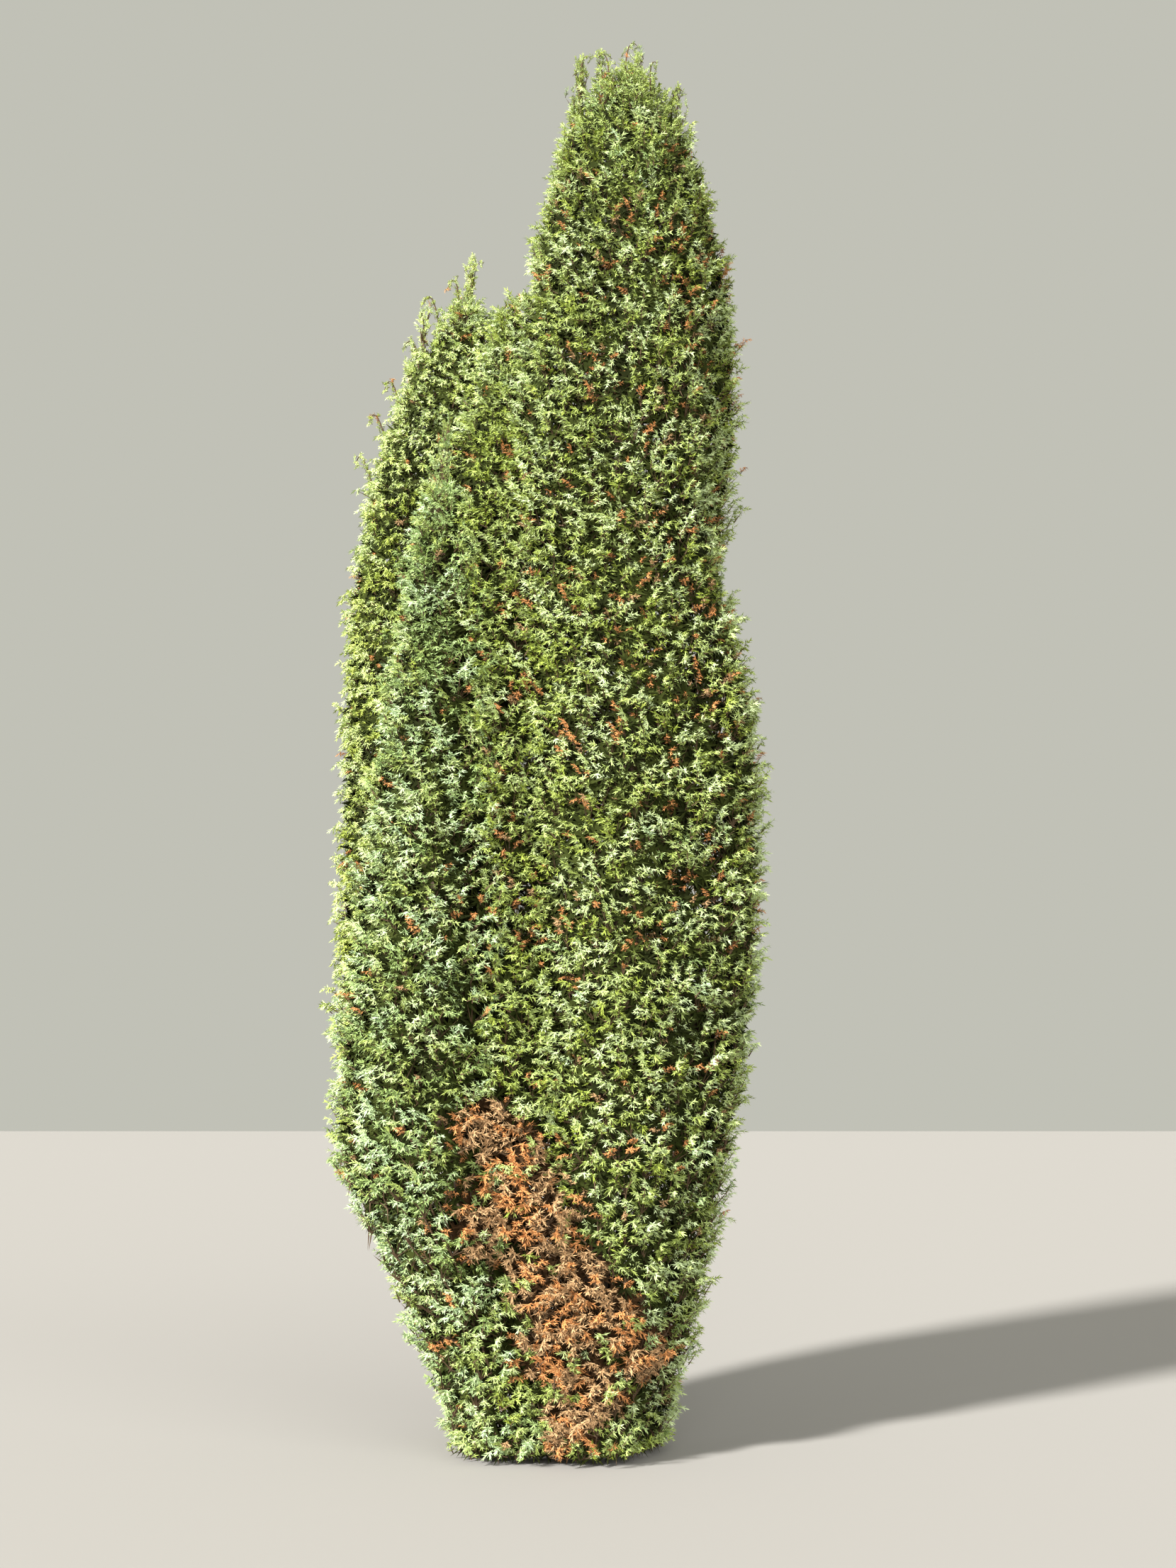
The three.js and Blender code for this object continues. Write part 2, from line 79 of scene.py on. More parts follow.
# A branch runs from its limb to the middle of a mass, as in the solids. Boughs part from it to the bunches.
BRANCH_RADIUS = 0.024
LEADER_BRANCH_RADIUS = 0.01
BRANCH_TAPER = 0.7
BRANCH_SLOPE = 1.7
BRANCH_SIDES = 7
BRANCH_PAST_SITE = 0.15  # how far it runs on past the middle, for its length
LOWEST_BRANCH = 0.12
BOUGH_RADII = [0.008, 0.006, 0.004, 0]
BOUGH_SIDES = 4
BOUGH_START = 0.35  # boughs part from this share of the branch, at the middle of its mass
BOUGH_SAG = 0.03
BOUGH_BELOW = [0.4, 0.15]  # how far below its bunch a bough leaves a limb, and bends
BOUGH_PAST_BUNCH = 0.2
LINK_RADIUS = 0.0045  # of the twig that runs from a bough to a spray
TWIG_RADIUS = 0.0034
TWIG_SIDES = 3

# Fans of bunches, and bunches of fine sprays. Both nod, so their undersides stand back.
FAN_SPACING = 0.44
FAN_ROUND = 0.015
FAN_UNDERCUT = 0.06
DEEPEST = 0.095  # how far inside the surface a spray's end may lie
BUNCH_SPACING = 0.14
BUNCH_DEPTH = 0.13  # how far inside the surface a bunch's twigs part
BUNCH_DEPTH_SHARE = 0.6  # which is at most this share of its column's reach
BUNCH_DROP = 0.1  # how far below its middle they part
BUNCH_ROUND = 0.035  # how far its rim lies inside the surface
BUNCH_UNDERCUT = 0.115  # how much deeper its underside lies, over its height
BUNCH_UNEVEN = 0.035  # how far a whole bunch may stand back
BUNCH_SPREAD = 0.6
NOD_RIM = 0.6  # how far a fan's or bunch's rim is from its middle, in spacings
NOD_LIMIT = 1.3  # its rounding ends at this share of the rim's distance
UNDERSIDE_START = 0.1  # above its middle, in spacings
UNDERSIDE_HEIGHT = 0.6
LIT_SIDE = 0.2  # sprays this far above or below its middle are a shade lighter or darker: painted light on top, painted shade beneath
LIGHTNESS_SHARES = [0.3, 0.4, 0.3]  # of the bunches in each shade, darkest first
SPRAY_SPACING = 0.055
SPRAY_UNEVEN = 0.025
SPRAY_SCALES = [0.8, 1.2]
SPRAY_ROLL = 0.8  # radians
SPRAY_OUTWARD = 0.3
SPRAY_LIFT = 0.6
SPRAY_LEAST_RISE = -0.5
TOP_SHARE = 0.2  # in this share of a column at its top, sprays rise more
TOP_LIFT = 0.4
SPRAY_KINDS = 10  # different fine sprays of each habit
DEAD_SCALE = 0.68  # dead sprays have dried and curled up
DEAD_INSET = 0.02
LUMP_SCALE = 1.15
LUMP_ROUND = 0.08  # how far a dead lump's rim lies inside the surface
LUMP_FADE = [0.6, 0.9, 1.1, 1.4]  # the dead sprays grow fewer over this share of a lump's radius
LUMP_CHANCES = [0.95, 0.8, 0.45, 0.03]
LUMP_LIGHTS = [2.4, -2]  # the shade of a lump's sprays at its middle, and its change to the rim: painted light at the middle, painted shade at the rim
LUMP_GAP = 1.3  # up to this share of a lump's radius, the green round it stands back
LUMP_GAP_DEPTH = 0.08
STRAY_CHANCE = 0.09  # of a spray that stands out
STRAY_REACH = 0.042
PATCH_MIX = 0.55  # how much a spray's colour goes by its bunch

# A fine spray: shoots along a bent line. A shoot is a long blade with shorter needles in pairs along it.
SPRAY_LENGTH = 0.088
SPRAY_WANDER = 1.2  # radians that a spray may turn to one side by its end
SPRAY_STEPS = 6
BEND_EASE = 1.3
SIDE_SHOOTS = 8
FIRST_SHOOT = 0.12
SHOOTS_ROUND = 0.7  # the share of a turn round the twig that bears shoots
OPENING_RANGE = [0.7, 1.2]
END_OPENING = 0.1  # of the last shoot
DARK_FOOT = 0.2  # the share of a spray that has its darkest shade: painted shade at its foot, inside the tuft
SHOOT_LENGTH = 0.022
SHOOT_LENGTHS = [0.8, 1.25]
BLADE_SHARE = 1.3
SHOOT_BEND = 0.7
SHOOT_AHEAD = 0.05
SHOOT_STRAY = 0.15  # how much shoots and their needles stray
NEEDLE_PAIRS = 3
NEEDLE_PLACES = [0.08, 0.86]  # of the first and last pair along a shoot
NEEDLE_LENGTH = 0.0195
NEEDLE_LENGTHS = [0.85, 1.15]
NEEDLE_WIDTH = 0.0058
NEEDLE_LEAN = [0.85, 0.4]  # radians from the shoot, at its foot and at its tip
TURN_STRAY = 0.5
NEEDLE_FACING = [0.8, 0.0, 0.35]  # a needle's broad side faces this way in its spray, and away from the twig
FACING_OUTWARD = 0.4
FACING_STRAY = 0.2

# Dark inner sprays, which close the crown behind the needles. Their near-black colours are painted shade
INNER_DEPTH = 0.12
INNER_LEAST = 0.04
INNER_SPACING = 0.068
INNER_KINDS = 4
INNER_SHOOTS = 16
INNER_FORWARD = 0.35
INNER_START = 0.004
INNER_STRAY = 0.3
INNER_TURN = 0.4
INNER_ROLL = 0.9  # radians
INNER_LENGTH = 0.065
INNER_WIDTH = 0.021

LIMBS = {
    "trunk": {
        "path": [[0, 0, 0], [0.075, 0.005, 0.7], [0.21, 0.025, 1.8], [0.31, 0.04, 3.0], [0.27, 0.04, 4.2],
                 [0.3, 0.04, 5.4], [0.33, 0.03, 6.45]],
        "sides": 48, "rings": 150,
    },
    "stem_front_left": {
        "path": [[0, 0, 0.15], [-0.21, -0.09, 0.56], [-0.45, -0.18, 1.1], [-0.62, -0.23, 1.9],
                 [-0.62, -0.235, 3.0], [-0.59, -0.23, 4.26]],
        "sides": 28, "rings": 90,
    },
    "stem_rear_left": {
        "path": [[0, 0, 0.15], [-0.15, 0.15, 0.56], [-0.39, 0.32, 1.15], [-0.62, 0.42, 2.0],
                 [-0.71, 0.44, 3.2], [-0.7, 0.44, 4.4], [-0.6, 0.42, 5.4]],
        "sides": 28, "rings": 100,
    },
}

# What a column is unless it says otherwise
PLAIN_COLUMN = {
    "is_leader": False, "depth": 1, "tiers": [], "sectors": 1, "first_angle": 0, "habit": "nodding",
}

# The columns of foliage. A column's reach is [height, radius] from its axis.
# The last one has no masses of its own: it fills the grooves where the three others press together.
COLUMNS = [
    {
        "name": "main",
        "limb": "trunk",
        "axis": [[0.06, -0.02, 0.06], [0.15, 0, 0.9], [0.27, 0.02, 2.1], [0.29, 0.04, 3.3],
                 [0.205, 0.04, 4.25], [0.295, 0.04, 5.3], [0.295, 0.03, 6.8]],
        "reach": [[0.06, 0.44], [0.6, 0.54], [1.5, 0.64], [2.4, 0.71], [3.4, 0.72], [4.18, 0.64],
                  [4.8, 0.65], [5.65, 0.59], [6.15, 0.49], [6.5, 0.39], [6.8, 0.27]],
        "depth": 1.06, "sectors": 3, "tiers": [0.6, 1.9, 3.18, 4.43, 5.64],
        "first_angle": -0.38 * math.pi,
    },
    {
        "name": "front_left",
        "limb": "stem_front_left",
        "axis": [[-0.27, -0.11, 0.06], [-0.39, -0.16, 0.6], [-0.625, -0.24, 1.35], [-0.63, -0.26, 2.2],
                 [-0.59, -0.26, 3.4], [-0.6, -0.25, 4.6]],
        "reach": [[0.06, 0.31], [0.6, 0.38], [1.3, 0.48], [2.2, 0.44], [3.4, 0.35], [4.1, 0.27],
                  [4.45, 0.19]],
        "depth": 1.1, "sectors": 2, "tiers": [0.62, 1.9, 3.25],
        "first_angle": -math.pi / 2,
    },
    {
        "name": "rear_left",
        "limb": "stem_rear_left",
        "axis": [[-0.23, 0.18, 0.08], [-0.36, 0.3, 0.6], [-0.67, 0.41, 1.5], [-0.715, 0.44, 3.0],
                 [-0.7, 0.44, 4.4], [-0.56, 0.43, 5.75]],
        "reach": [[0.08, 0.3], [0.8, 0.42], [1.7, 0.49], [3.0, 0.51], [4.2, 0.51], [4.9, 0.44], [5.4, 0.33],
                  [5.75, 0.18]],
        "sectors": 2, "tiers": [0.7, 1.96, 3.24, 4.52],
        "first_angle": math.pi,
        "habit": "weeping",
    },
    {
        "name": "groove",
        "limb": "trunk",
        "axis": [[-0.09, -0.14, 0.1], [-0.12, -0.22, 0.7], [-0.2, -0.25, 1.4], [-0.27, -0.19, 2.3],
                 [-0.3, -0.18, 3.4], [-0.33, -0.1, 4.4], [-0.28, 0.06, 5.2], [-0.24, 0.12, 5.6]],
        "reach": [[0.1, 0.29], [0.7, 0.35], [1.4, 0.36], [2.3, 0.35], [3.4, 0.36], [4.4, 0.36], [5.2, 0.28],
                  [5.6, 0.2]],
        "depth": 1.1,
    },
]

# Leaders are the narrow tips of the columns: [name, its column, foot, tip, radius].
LEADERS = [
    ["leader_left", "main", [0.06, 0.01, 6.0], [0.055, 0, 7.0], 0.19],
    ["leader_thin", "main", [0.2, -0.2, 6.15], [0.16, -0.15, 6.93], 0.11],
    ["leader_centre", "main", [0.32, -0.02, 6.0], [0.355, 0.01, 7.05], 0.2],
    ["leader_right", "main", [0.54, 0.03, 5.95], [0.565, 0, 6.83], 0.17],
    ["leader_back", "main", [0.31, 0.3, 5.95], [0.32, 0.29, 6.85], 0.19],
    ["tip_front_left", "front_left", [-0.6, -0.25, 3.9], [-0.6, -0.24, 4.87], 0.2],
    ["tip_rear_left", "rear_left", [-0.62, 0.43, 5.0], [-0.535, 0.41, 6.08], 0.16],
    ["tip_rear_outer", "rear_left", [-0.82, 0.4, 4.9], [-0.775, 0.37, 5.78], 0.18],
]

# Long shoots that stand out and nod over at their ends: [root, highest point, tip]
WISPS = [
    [[0.3, 0.0, 6.55], [0.3, 0.0, 7.0], [0.37, 0.0, 7.04]],
    [[0.07, 0.0, 6.55], [0.06, 0.0, 6.93], [0.115, -0.01, 6.97]],
    [[0.2, -0.16, 6.4], [0.2, -0.17, 6.82], [0.15, -0.18, 6.86]],
    [[0.55, 0.0, 6.35], [0.54, 0.0, 6.74], [0.61, -0.01, 6.77]],
    [[0.44, -0.1, 6.5], [0.42, -0.12, 6.82], [0.46, -0.13, 6.86]],
    [[-0.6, -0.26, 4.35], [-0.61, -0.27, 4.7], [-0.57, -0.28, 4.76]],
    [[-0.56, 0.4, 5.6], [-0.53, 0.39, 5.96], [-0.47, 0.38, 5.98]],
    [[-0.6, 0.4, 5.45], [-0.61, 0.36, 5.86], [-0.67, 0.34, 5.82]],
    [[-0.68, 0.4, 5.35], [-0.73, 0.38, 5.76], [-0.8, 0.37, 5.76]],
    [[-0.76, 0.42, 5.15], [-0.83, 0.41, 5.53], [-0.9, 0.4, 5.52]],
    [[-0.86, 0.4, 4.9], [-0.94, 0.4, 5.3], [-1.0, 0.4, 5.27]],
    [[-0.92, 0.42, 4.72], [-1.02, 0.42, 5.12], [-1.08, 0.42, 5.09]],
    [[-0.98, 0.4, 4.5], [-1.09, 0.4, 4.88], [-1.14, 0.4, 4.84]],
]
WISP_SPACING = 0.02
WISP_STEPS = 9
WISP_BARE = 0.25  # the share of its length that bears no sprays, from its root
WISP_OPENING = 0.8
WISP_RISE = 0.2
WISP_SPREAD = 0.03  # how far from it sprays end, at its foot
WISP_TIP_SPREAD = 0.3  # as a share of that
WISP_RADII = [0.006, 0.002]
WISP_SCALE = 0.62
WISP_SCALES = [1.1, 0.75]

# Where the lowest foliage at the front is dead and brown: [x, height, radius]
DEAD_LUMPS = [
    [-0.36, 1.46, 0.11], [-0.22, 1.28, 0.17], [-0.34, 1.02, 0.14], [-0.09, 1.06, 0.16], [0.06, 0.8, 0.14],
    [0.2, 0.62, 0.15], [-0.07, 0.5, 0.13], [0.14, 0.34, 0.13], [0.38, 0.47, 0.12], [0.03, 0.2, 0.14],
    [-0.14, 0.78, 0.12], [0.02, 0.62, 0.11],
]

# Colours of the needles, each of which is dealt out by spray in several shades. The shades are lighter and
# darker copies of each colour, dealt out partly at random and partly as painted light and painted shade
COLOURS = {
    "green": (0.29, 0.365, 0.042),
    "grey_green": (0.305, 0.385, 0.08),
    "blue_green": (0.265, 0.37, 0.1),
    "yellow_green": (0.375, 0.45, 0.07),
    "orange_brown": (0.5, 0.23, 0.085),
    "tan": (0.42, 0.265, 0.135),
}
FIRST_DEAD = 4  # the colours from this one on are of dead sprays
SHADES = [0.52, 0.78, 0.95, 1.02, 1.05]
WAX_AND_HIGHLIGHT_TINT = (0.0112, 0.0122, 0.0158)  # lighter shades of living needles are greyer: partly their waxy band, partly a painted pale highlight
SPRAY_SHADES = 3  # a spray's own shades, from its foot to its tip: painted shade at its foot, lighter at random beyond it
LIGHTNESSES = len(SHADES) - SPRAY_SHADES + 1  # the shades that a spray's foot may have
# near-black painted shade for the inner sprays; the last, dark brown, is painted shade under the dead lumps
INNER_SHADE_COLOURS = [(0.01, 0.013, 0.002), (0.017, 0.023, 0.0035), (0.025, 0.032, 0.0055), (0.035, 0.018, 0.007)]
TWIG_COLOUR = (0.07, 0.045, 0.026)
BARK_DARK = (0.045, 0.028, 0.02)
BARK_PALE = (0.3, 0.2, 0.145)

# The share of the living sprays up to each colour, by column, and by height in the others
MIXES = {
    "front_left": {"blue_green": 0.55, "grey_green": 0.9, "green": 1},
    "rear": {"yellow_green": 0.6, "green": 0.85, "grey_green": 1},
    "middle": {"green": 0.6, "grey_green": 0.9, "yellow_green": 1},
    "ends": {"green": 0.45, "grey_green": 0.8, "blue_green": 1},
}
MIDDLE_HEIGHTS = [2.9, 5.8]

# How likely a spray is to be dead, in a half dead bunch or in another, and then tan, in a lump or elsewhere
DEAD_CHANCES = [0.36, 0.03]
TAN_CHANCES = [0.7, 0.25]

# How likely a bunch is to be half dead: in the groove, in the main column and more so to its right, along
# its edge by the groove, and elsewhere
GROOVE_HALF_DEAD = 0.26
GROOVE_SHADED = 4.8
MAIN_HALF_DEAD = 0.15
RIGHT_HALF_DEAD = 0.36
RIGHT_START = -0.1
RIGHT_RUN = 0.6
RIGHT_HEIGHTS = [2.2, 6.2]
EDGE_HALF_DEAD = 0.3
EDGE_CORNER = [-0.15, 0.1]
EDGE_HEIGHTS = [1.4, 4.6]
OTHER_HALF_DEAD = 0.06

# How many shades lighter a bunch is, by the names of columns: [a height, below it, above it]. This is
# painted light and painted shade: the rear column's lit top is lighter, the groove's crease and the upper
# parts of the others darker
LIGHT_SHIFTS = {
    "rear": [4.6, 0, 2],
    "front_left": [3.4, 0, -1],
    "main": [5.8, 0, -1],
    "leader": [5.8, 0, -1],
    "groove": [4.8, -1, 0],
}

DIRECTIONS = ["right", "back_right", "back", "back_left", "left", "front_left", "front", "front_right"]

# The scene round the plant. A light is [name, heading, strength, softness in degrees, colour].
FLOOR_SIZE = 60
FLOOR_COLOUR = (0.3, 0.29, 0.28)
LIGHTS = [
    ["key", (20, 18, -12), 12, 6, (1, 0.975, 0.92)],
    ["fill", (-4, 10, -3), 3.6, 70, (1, 0.99, 0.93)],
]
WORLD_COLOUR = (0.86, 0.86, 0.76)
WORLD_STRENGTH = 0.62
LENS = 38
SENSOR_WIDTH = 36
CAMERA_PLACE = (0.095, -7.93, 1.6)
CAMERA_PITCH = 10.5  # degrees up from level


# The plant's own rule, shared by its solids

def smooth_line(points):
    """Points of a smooth line through the given ones, close enough to be read by height."""
    points = np.array(points, float)
    ends = np.vstack([2 * points[0] - points[1], points, 2 * points[-1] - points[-2]])
    at = np.linspace(0, len(points) - 1, PATH_STEPS + 1)
    first = np.minimum(at.astype(int), len(points) - 2)
    share = (at - first)[:, None]
    before, start, end, after = (ends[first + k] for k in range(4))
    leave = (end - before) / 2
    arrive = (after - start) / 2
    square = share * share * (3 * (end - start) - 2 * leave - arrive)
    cube = share ** 3 * (2 * (start - end) + leave + arrive)
    return start + share * leave + square + cube


def line_at(line, height):
    height = np.asarray(height, float)
    x = np.interp(height, line[:, 2], line[:, 0])
    y = np.interp(height, line[:, 2], line[:, 1])
    return np.stack([x, y, height], axis=-1)


def reach_at(column, height, angle):
    plain = np.interp(height, column["reach"][:, 0], column["reach"][:, 1])
    return plain * (1 + RIB_DEPTH * np.cos(RIBS * angle + RIB_TWIST * np.asarray(height)))


def surface_point(column, height, angle, share=1.0):
    reach = reach_at(column, height, angle) * share
    flat = np.zeros_like(reach)
    offset = np.stack([np.cos(angle) * reach, np.sin(angle) * reach * column["depth"], flat], axis=-1)
    return line_at(column["line"], height) + offset


def inside_column(column, points, share):
    offset = points - line_at(column["line"], points[:, 2])
    offset[:, 1] /= column["depth"]
    angle = np.arctan2(offset[:, 1], offset[:, 0])
    near = np.hypot(offset[:, 0], offset[:, 1]) <= share * reach_at(column, points[:, 2], angle)
    return near & (points[:, 2] >= column["bottom"]) & (points[:, 2] <= column["top"])


def is_exposed(column, points, crown):
    """Whether points on a column's surface are outside all the crown's other columns."""
    hidden = [inside_column(other, points, EXPOSED_SHARE) for other in crown if other is not column]
    return ~np.any(hidden, axis=0)


def in_crease(column, points):
    """Whether points on a column's surface lie close by another column. A leader has no creases."""
    others = [other for other in columns if other is not column and not other["is_leader"]]
    near = np.any([inside_column(other, points, CREASE_SHARE) for other in others], axis=0)
    return near & (not column["is_leader"])


def drawn_in(column, depth):
    """A column whose surface lies deeper by a distance, or None where that leaves too little of it."""
    reach = column["reach"] - [0, depth]
    reach = reach[reach[:, 1] >= INNER_LEAST]
    if len(reach) < 2:
        return None
    reach[-1, 0] = min(reach[-1, 0], column["top"] - depth)
    return {**column, "reach": reach, "bottom": reach[0, 0], "top": reach[-1, 0]}


def with_line(column):
    reach = np.array(column["reach"], float)
    made = {**PLAIN_COLUMN, **column}
    made.update(reach=reach, line=smooth_line(column["axis"]), bottom=reach[0, 0], top=reach[-1, 0])
    return made


def leader_column(leader):
    name, parent_name, foot, tip, radius = leader
    parent = next(column for column in COLUMNS if column["name"] == parent_name)
    rise = tip[2] - foot[2]
    return {
        "name": name,
        "limb": parent["limb"],
        "axis": [foot, tip],
        "reach": [[foot[2] + share * rise, width * radius] for share, width in LEADER_PROFILE],
        "tiers": [foot[2] + LEADER_SITE * rise],
        "habit": "upright",
        "is_leader": True,
    }


def direction_name(angle):
    return DIRECTIONS[round(angle / (math.pi / 4)) % len(DIRECTIONS)]


def masses_of(column):
    """A column's masses, each with the site that its own space is nearest to."""
    made = []
    for tier, height in enumerate(column["tiers"]):
        for sector in range(column["sectors"]):
            turn = math.pi / column["sectors"] * (tier % 2)
            angle = column["first_angle"] + turn + sector * 2 * math.pi / column["sectors"]
            share = 0 if column["is_leader"] else SITE_SHARE
            site = surface_point(column, height, np.float64(angle), share)
            place_name = "" if column["is_leader"] else f"_{tier + 1}_{direction_name(angle)}"
            made.append({"name": column["name"] + place_name, "column": column, "site": site})
    return made


columns = [with_line(column) for column in COLUMNS + [leader_column(leader) for leader in LEADERS]]
masses = [mass for column in columns for mass in masses_of(column)]
sites = np.array([mass["site"] for mass in masses])


def owner_of(points):
    """The mass whose space each point is in. Heights count less, so spaces are tall."""
    gaps = points[:, None, :] - sites[None, :, :]
    gaps[:, :, 2] *= math.sqrt(HEIGHT_WEIGHT)
    return np.argmin((gaps ** 2).sum(axis=2), axis=1)


def side_places(column, spacing, random):
    """Even places round a column, on a spiral by the golden angle, with their outward directions."""
    rows = [[column["bottom"], turn] for turn in np.arange(0, 2 * math.pi, spacing / column["reach"][0, 1])]
    height = column["bottom"] + spacing / 2
    angle = column["first_angle"]
    while height < column["top"]:
        reach = float(reach_at(column, height, angle))
        moved = random.uniform(-JITTER, JITTER, 2) * spacing
        rows.append([height + moved[0], angle + moved[1] / max(reach, spacing)])
        height += spacing ** 2 / (2 * math.pi * reach)
        angle += GOLDEN_ANGLE
    rows = np.array(rows)
    points = surface_point(column, rows[:, 0], rows[:, 1])
    outward = np.stack([np.cos(rows[:, 1]), np.sin(rows[:, 1]), np.zeros(len(rows))], axis=1)
    return points, outward


def cap_places(column, spacing, random):
    """Even places on a column's domed top, with their outward directions."""
    reach = column["reach"][-1, 1]
    count = max(int(math.pi * (reach / spacing) ** 2), 1)
    out = np.sqrt((np.arange(count) + 0.5) / count)
    strayed = random.uniform(-JITTER, JITTER, count)
    angle = column["first_angle"] + np.arange(count) * GOLDEN_ANGLE + strayed
    centre = line_at(column["line"], column["top"])
    height = column["top"] + CAP_RISE * reach * (1 - out ** 2)
    x = centre[0] + out * reach * np.cos(angle)
    y = centre[1] + out * reach * np.sin(angle) * column["depth"]
    outward = np.stack([out * np.cos(angle), out * np.sin(angle), CAP_UPWARD - out], axis=1)
    return np.stack([x, y, height], axis=1), unit(outward)


def open_places(column, crown, spacing, random):
    """The places on a column that are outside the crown's others: points, outward directions and masses."""
    sides = side_places(column, spacing, random)
    cap = cap_places(column, spacing, random)
    points, outward = (np.vstack(pair) for pair in zip(sides, cap))
    kept = is_exposed(column, points, crown) & (points[:, 2] > LOWEST_PLACE)
    return points[kept], outward[kept], owner_of(points[kept])


# Small mesh tools: a batch is (vertices, triangles, material index of each triangle)

def unit(vectors):
    return vectors / np.maximum(np.linalg.norm(vectors, axis=-1, keepdims=True), 1e-9)


def joined(batches):
    vertices, faces, slots, start = [], [], [], 0
    for batch_vertices, batch_faces, batch_slots in batches:
        vertices.append(batch_vertices)
        faces.append(batch_faces + start)
        slots.append(batch_slots)
        start += len(batch_vertices)
    return np.vstack(vertices), np.vstack(faces), np.concatenate(slots)


def mesh_object(name, vertices, faces, slots, materials, smooth=False):
    mesh = bpy.data.meshes.new(name)
    count = len(faces)
    mesh.vertices.add(len(vertices))
    mesh.vertices.foreach_set("co", np.ascontiguousarray(vertices, np.float32).ravel())
    mesh.loops.add(count * 3)
    mesh.loops.foreach_set("vertex_index", np.ascontiguousarray(faces, np.int32).ravel())
    mesh.polygons.add(count)
    mesh.polygons.foreach_set("loop_start", np.arange(0, count * 3, 3, dtype=np.int32))
    mesh.polygons.foreach_set("material_index", np.ascontiguousarray(slots, np.int32))
    mesh.polygons.foreach_set("use_smooth", np.full(count, smooth))
    for material in materials:
        mesh.materials.append(material)
    mesh.update(calc_edges=True)
    mesh.validate()
    piece = bpy.data.objects.new(name, mesh)
    bpy.context.scene.collection.objects.link(piece)
    return piece


def tube(path, radii, sides):
    """A tapered tube along a path, pointed at its end."""
    path = np.asarray(path, float)
    along = unit(np.gradient(path, axis=0))
    is_steep = abs(along[0][2]) > 0.7
    helper = np.array([0.31, 0.17, 0.05]) if is_steep else np.array([0.0, 0.0, 1.0])
    across = unit(np.cross(along, helper))
    third = np.cross(along, across)
    turns = (np.arange(sides) * 2 * math.pi / sides)[None, :, None]
    ring = np.cos(turns) * across[:, None, :] + np.sin(turns) * third[:, None, :]
    rings = path[:-1, None, :] + ring[:-1] * np.asarray(radii)[:-1, None, None]
    vertices = np.vstack([rings.reshape(-1, 3), path[-1:]])
    faces = []
    for k in range(len(path) - 2):
        for i in range(sides):
            a, b = k * sides + i, k * sides + (i + 1) % sides
            faces += [[a, b, a + sides], [b, b + sides, a + sides]]
    last = (len(path) - 2) * sides
    faces += [[last + i, last + (i + 1) % sides, len(vertices) - 1] for i in range(sides)]
    return vertices, np.array(faces), np.zeros(len(faces), int)


# Fine sprays

def bent_path(length, slopes, wander, steps):
    """A path that starts at one slope above level and bends over to another, and strays to one side."""
    shares = (np.arange(steps) + 0.5) / steps
    slope = slopes[0] + (slopes[1] - slopes[0]) * shares ** BEND_EASE
    side = wander * shares
    moves = np.stack([np.cos(slope) * np.cos(side), np.cos(slope) * np.sin(side), np.sin(slope)], axis=1)
    return np.vstack([[0, 0, 0], np.cumsum(moves * length / steps, axis=0)])


def awls(feet, directions, sideways, lengths, width):
    """Needles: each is an awl, broad at its foot and sharp at its tip."""
    half = sideways * width / 2
    tips = feet + directions * lengths[:, None]
    vertices = np.stack([feet + half, tips, feet - half], axis=1).reshape(-1, 3)
    return vertices, np.arange(len(vertices)).reshape(-1, 3)


def needle_directions(along, shares, random):
    """Which way each needle of a shoot points, in crossed pairs, and the way that is away from the shoot."""
    count = len(shares)
    across = unit(np.cross(along, [0.3, 0.2, 1.0]))
    third = np.cross(along, across)
    numbers = np.arange(count)
    crossed = numbers % 2 + numbers // 2 % 2 * 0.5
    turn = crossed * math.pi + random.uniform(-TURN_STRAY, TURN_STRAY, count)
    outward = np.cos(turn)[:, None] * across + np.sin(turn)[:, None] * third
    lean = NEEDLE_LEAN[0] + (NEEDLE_LEAN[1] - NEEDLE_LEAN[0]) * shares
    lean = lean + random.uniform(-SHOOT_STRAY, SHOOT_STRAY, count)
    return np.cos(lean)[:, None] * along + np.sin(lean)[:, None] * outward, outward


def shoot(foot, heading, facing, drop, random):
    """A shoot that curls down a little: a long blade along it, and shorter needles in crossed pairs. Their
    broad sides are turned to where the spray faces there, so that it takes the light as one round tuft."""
    length = SHOOT_LENGTH * random.uniform(*SHOOT_LENGTHS)
    curl = np.array([SHOOT_AHEAD, 0, -drop]) * SHOOT_BEND
    end = unit(heading + curl + random.uniform(-SHOOT_STRAY, SHOOT_STRAY, 3))
    shares = np.repeat(np.linspace(*NEEDLE_PLACES, NEEDLE_PAIRS), 2)
    along = unit(heading + (end - heading) * shares[:, None])
    feet = foot + (heading + (end - heading) * shares[:, None] / 2) * (shares * length)[:, None]
    directions, outward = needle_directions(along, shares, random)
    strayed = random.uniform(-FACING_STRAY, FACING_STRAY, outward.shape)
    sideways = unit(np.cross(directions, facing + FACING_OUTWARD * outward + strayed))
    sizes = NEEDLE_LENGTH * random.uniform(*NEEDLE_LENGTHS, len(shares))
    needles, needle_faces = awls(feet, directions, sideways, sizes, NEEDLE_WIDTH)
    middle = unit(heading + end)[None]
    blade_side = unit(np.cross(middle, facing))
    blade, blade_faces = awls(foot[None], middle, blade_side, np.array([length * BLADE_SHARE]), NEEDLE_WIDTH)
    return np.vstack([needles, blade]), np.vstack([needle_faces, blade_faces + len(needles)])


# The slopes of a spray's line at its foot and tip, how much its shoots droop, and how wide they open
HABITS = {
    "nodding": {"slopes": [1.5, -0.1], "drop": 0.6, "opening": 1.05},
    "weeping": {"slopes": [1.3, -0.8], "drop": 0.8, "opening": 1.0},
    "upright": {"slopes": [1.5, 0.8], "drop": 0.3, "opening": 0.85},
}


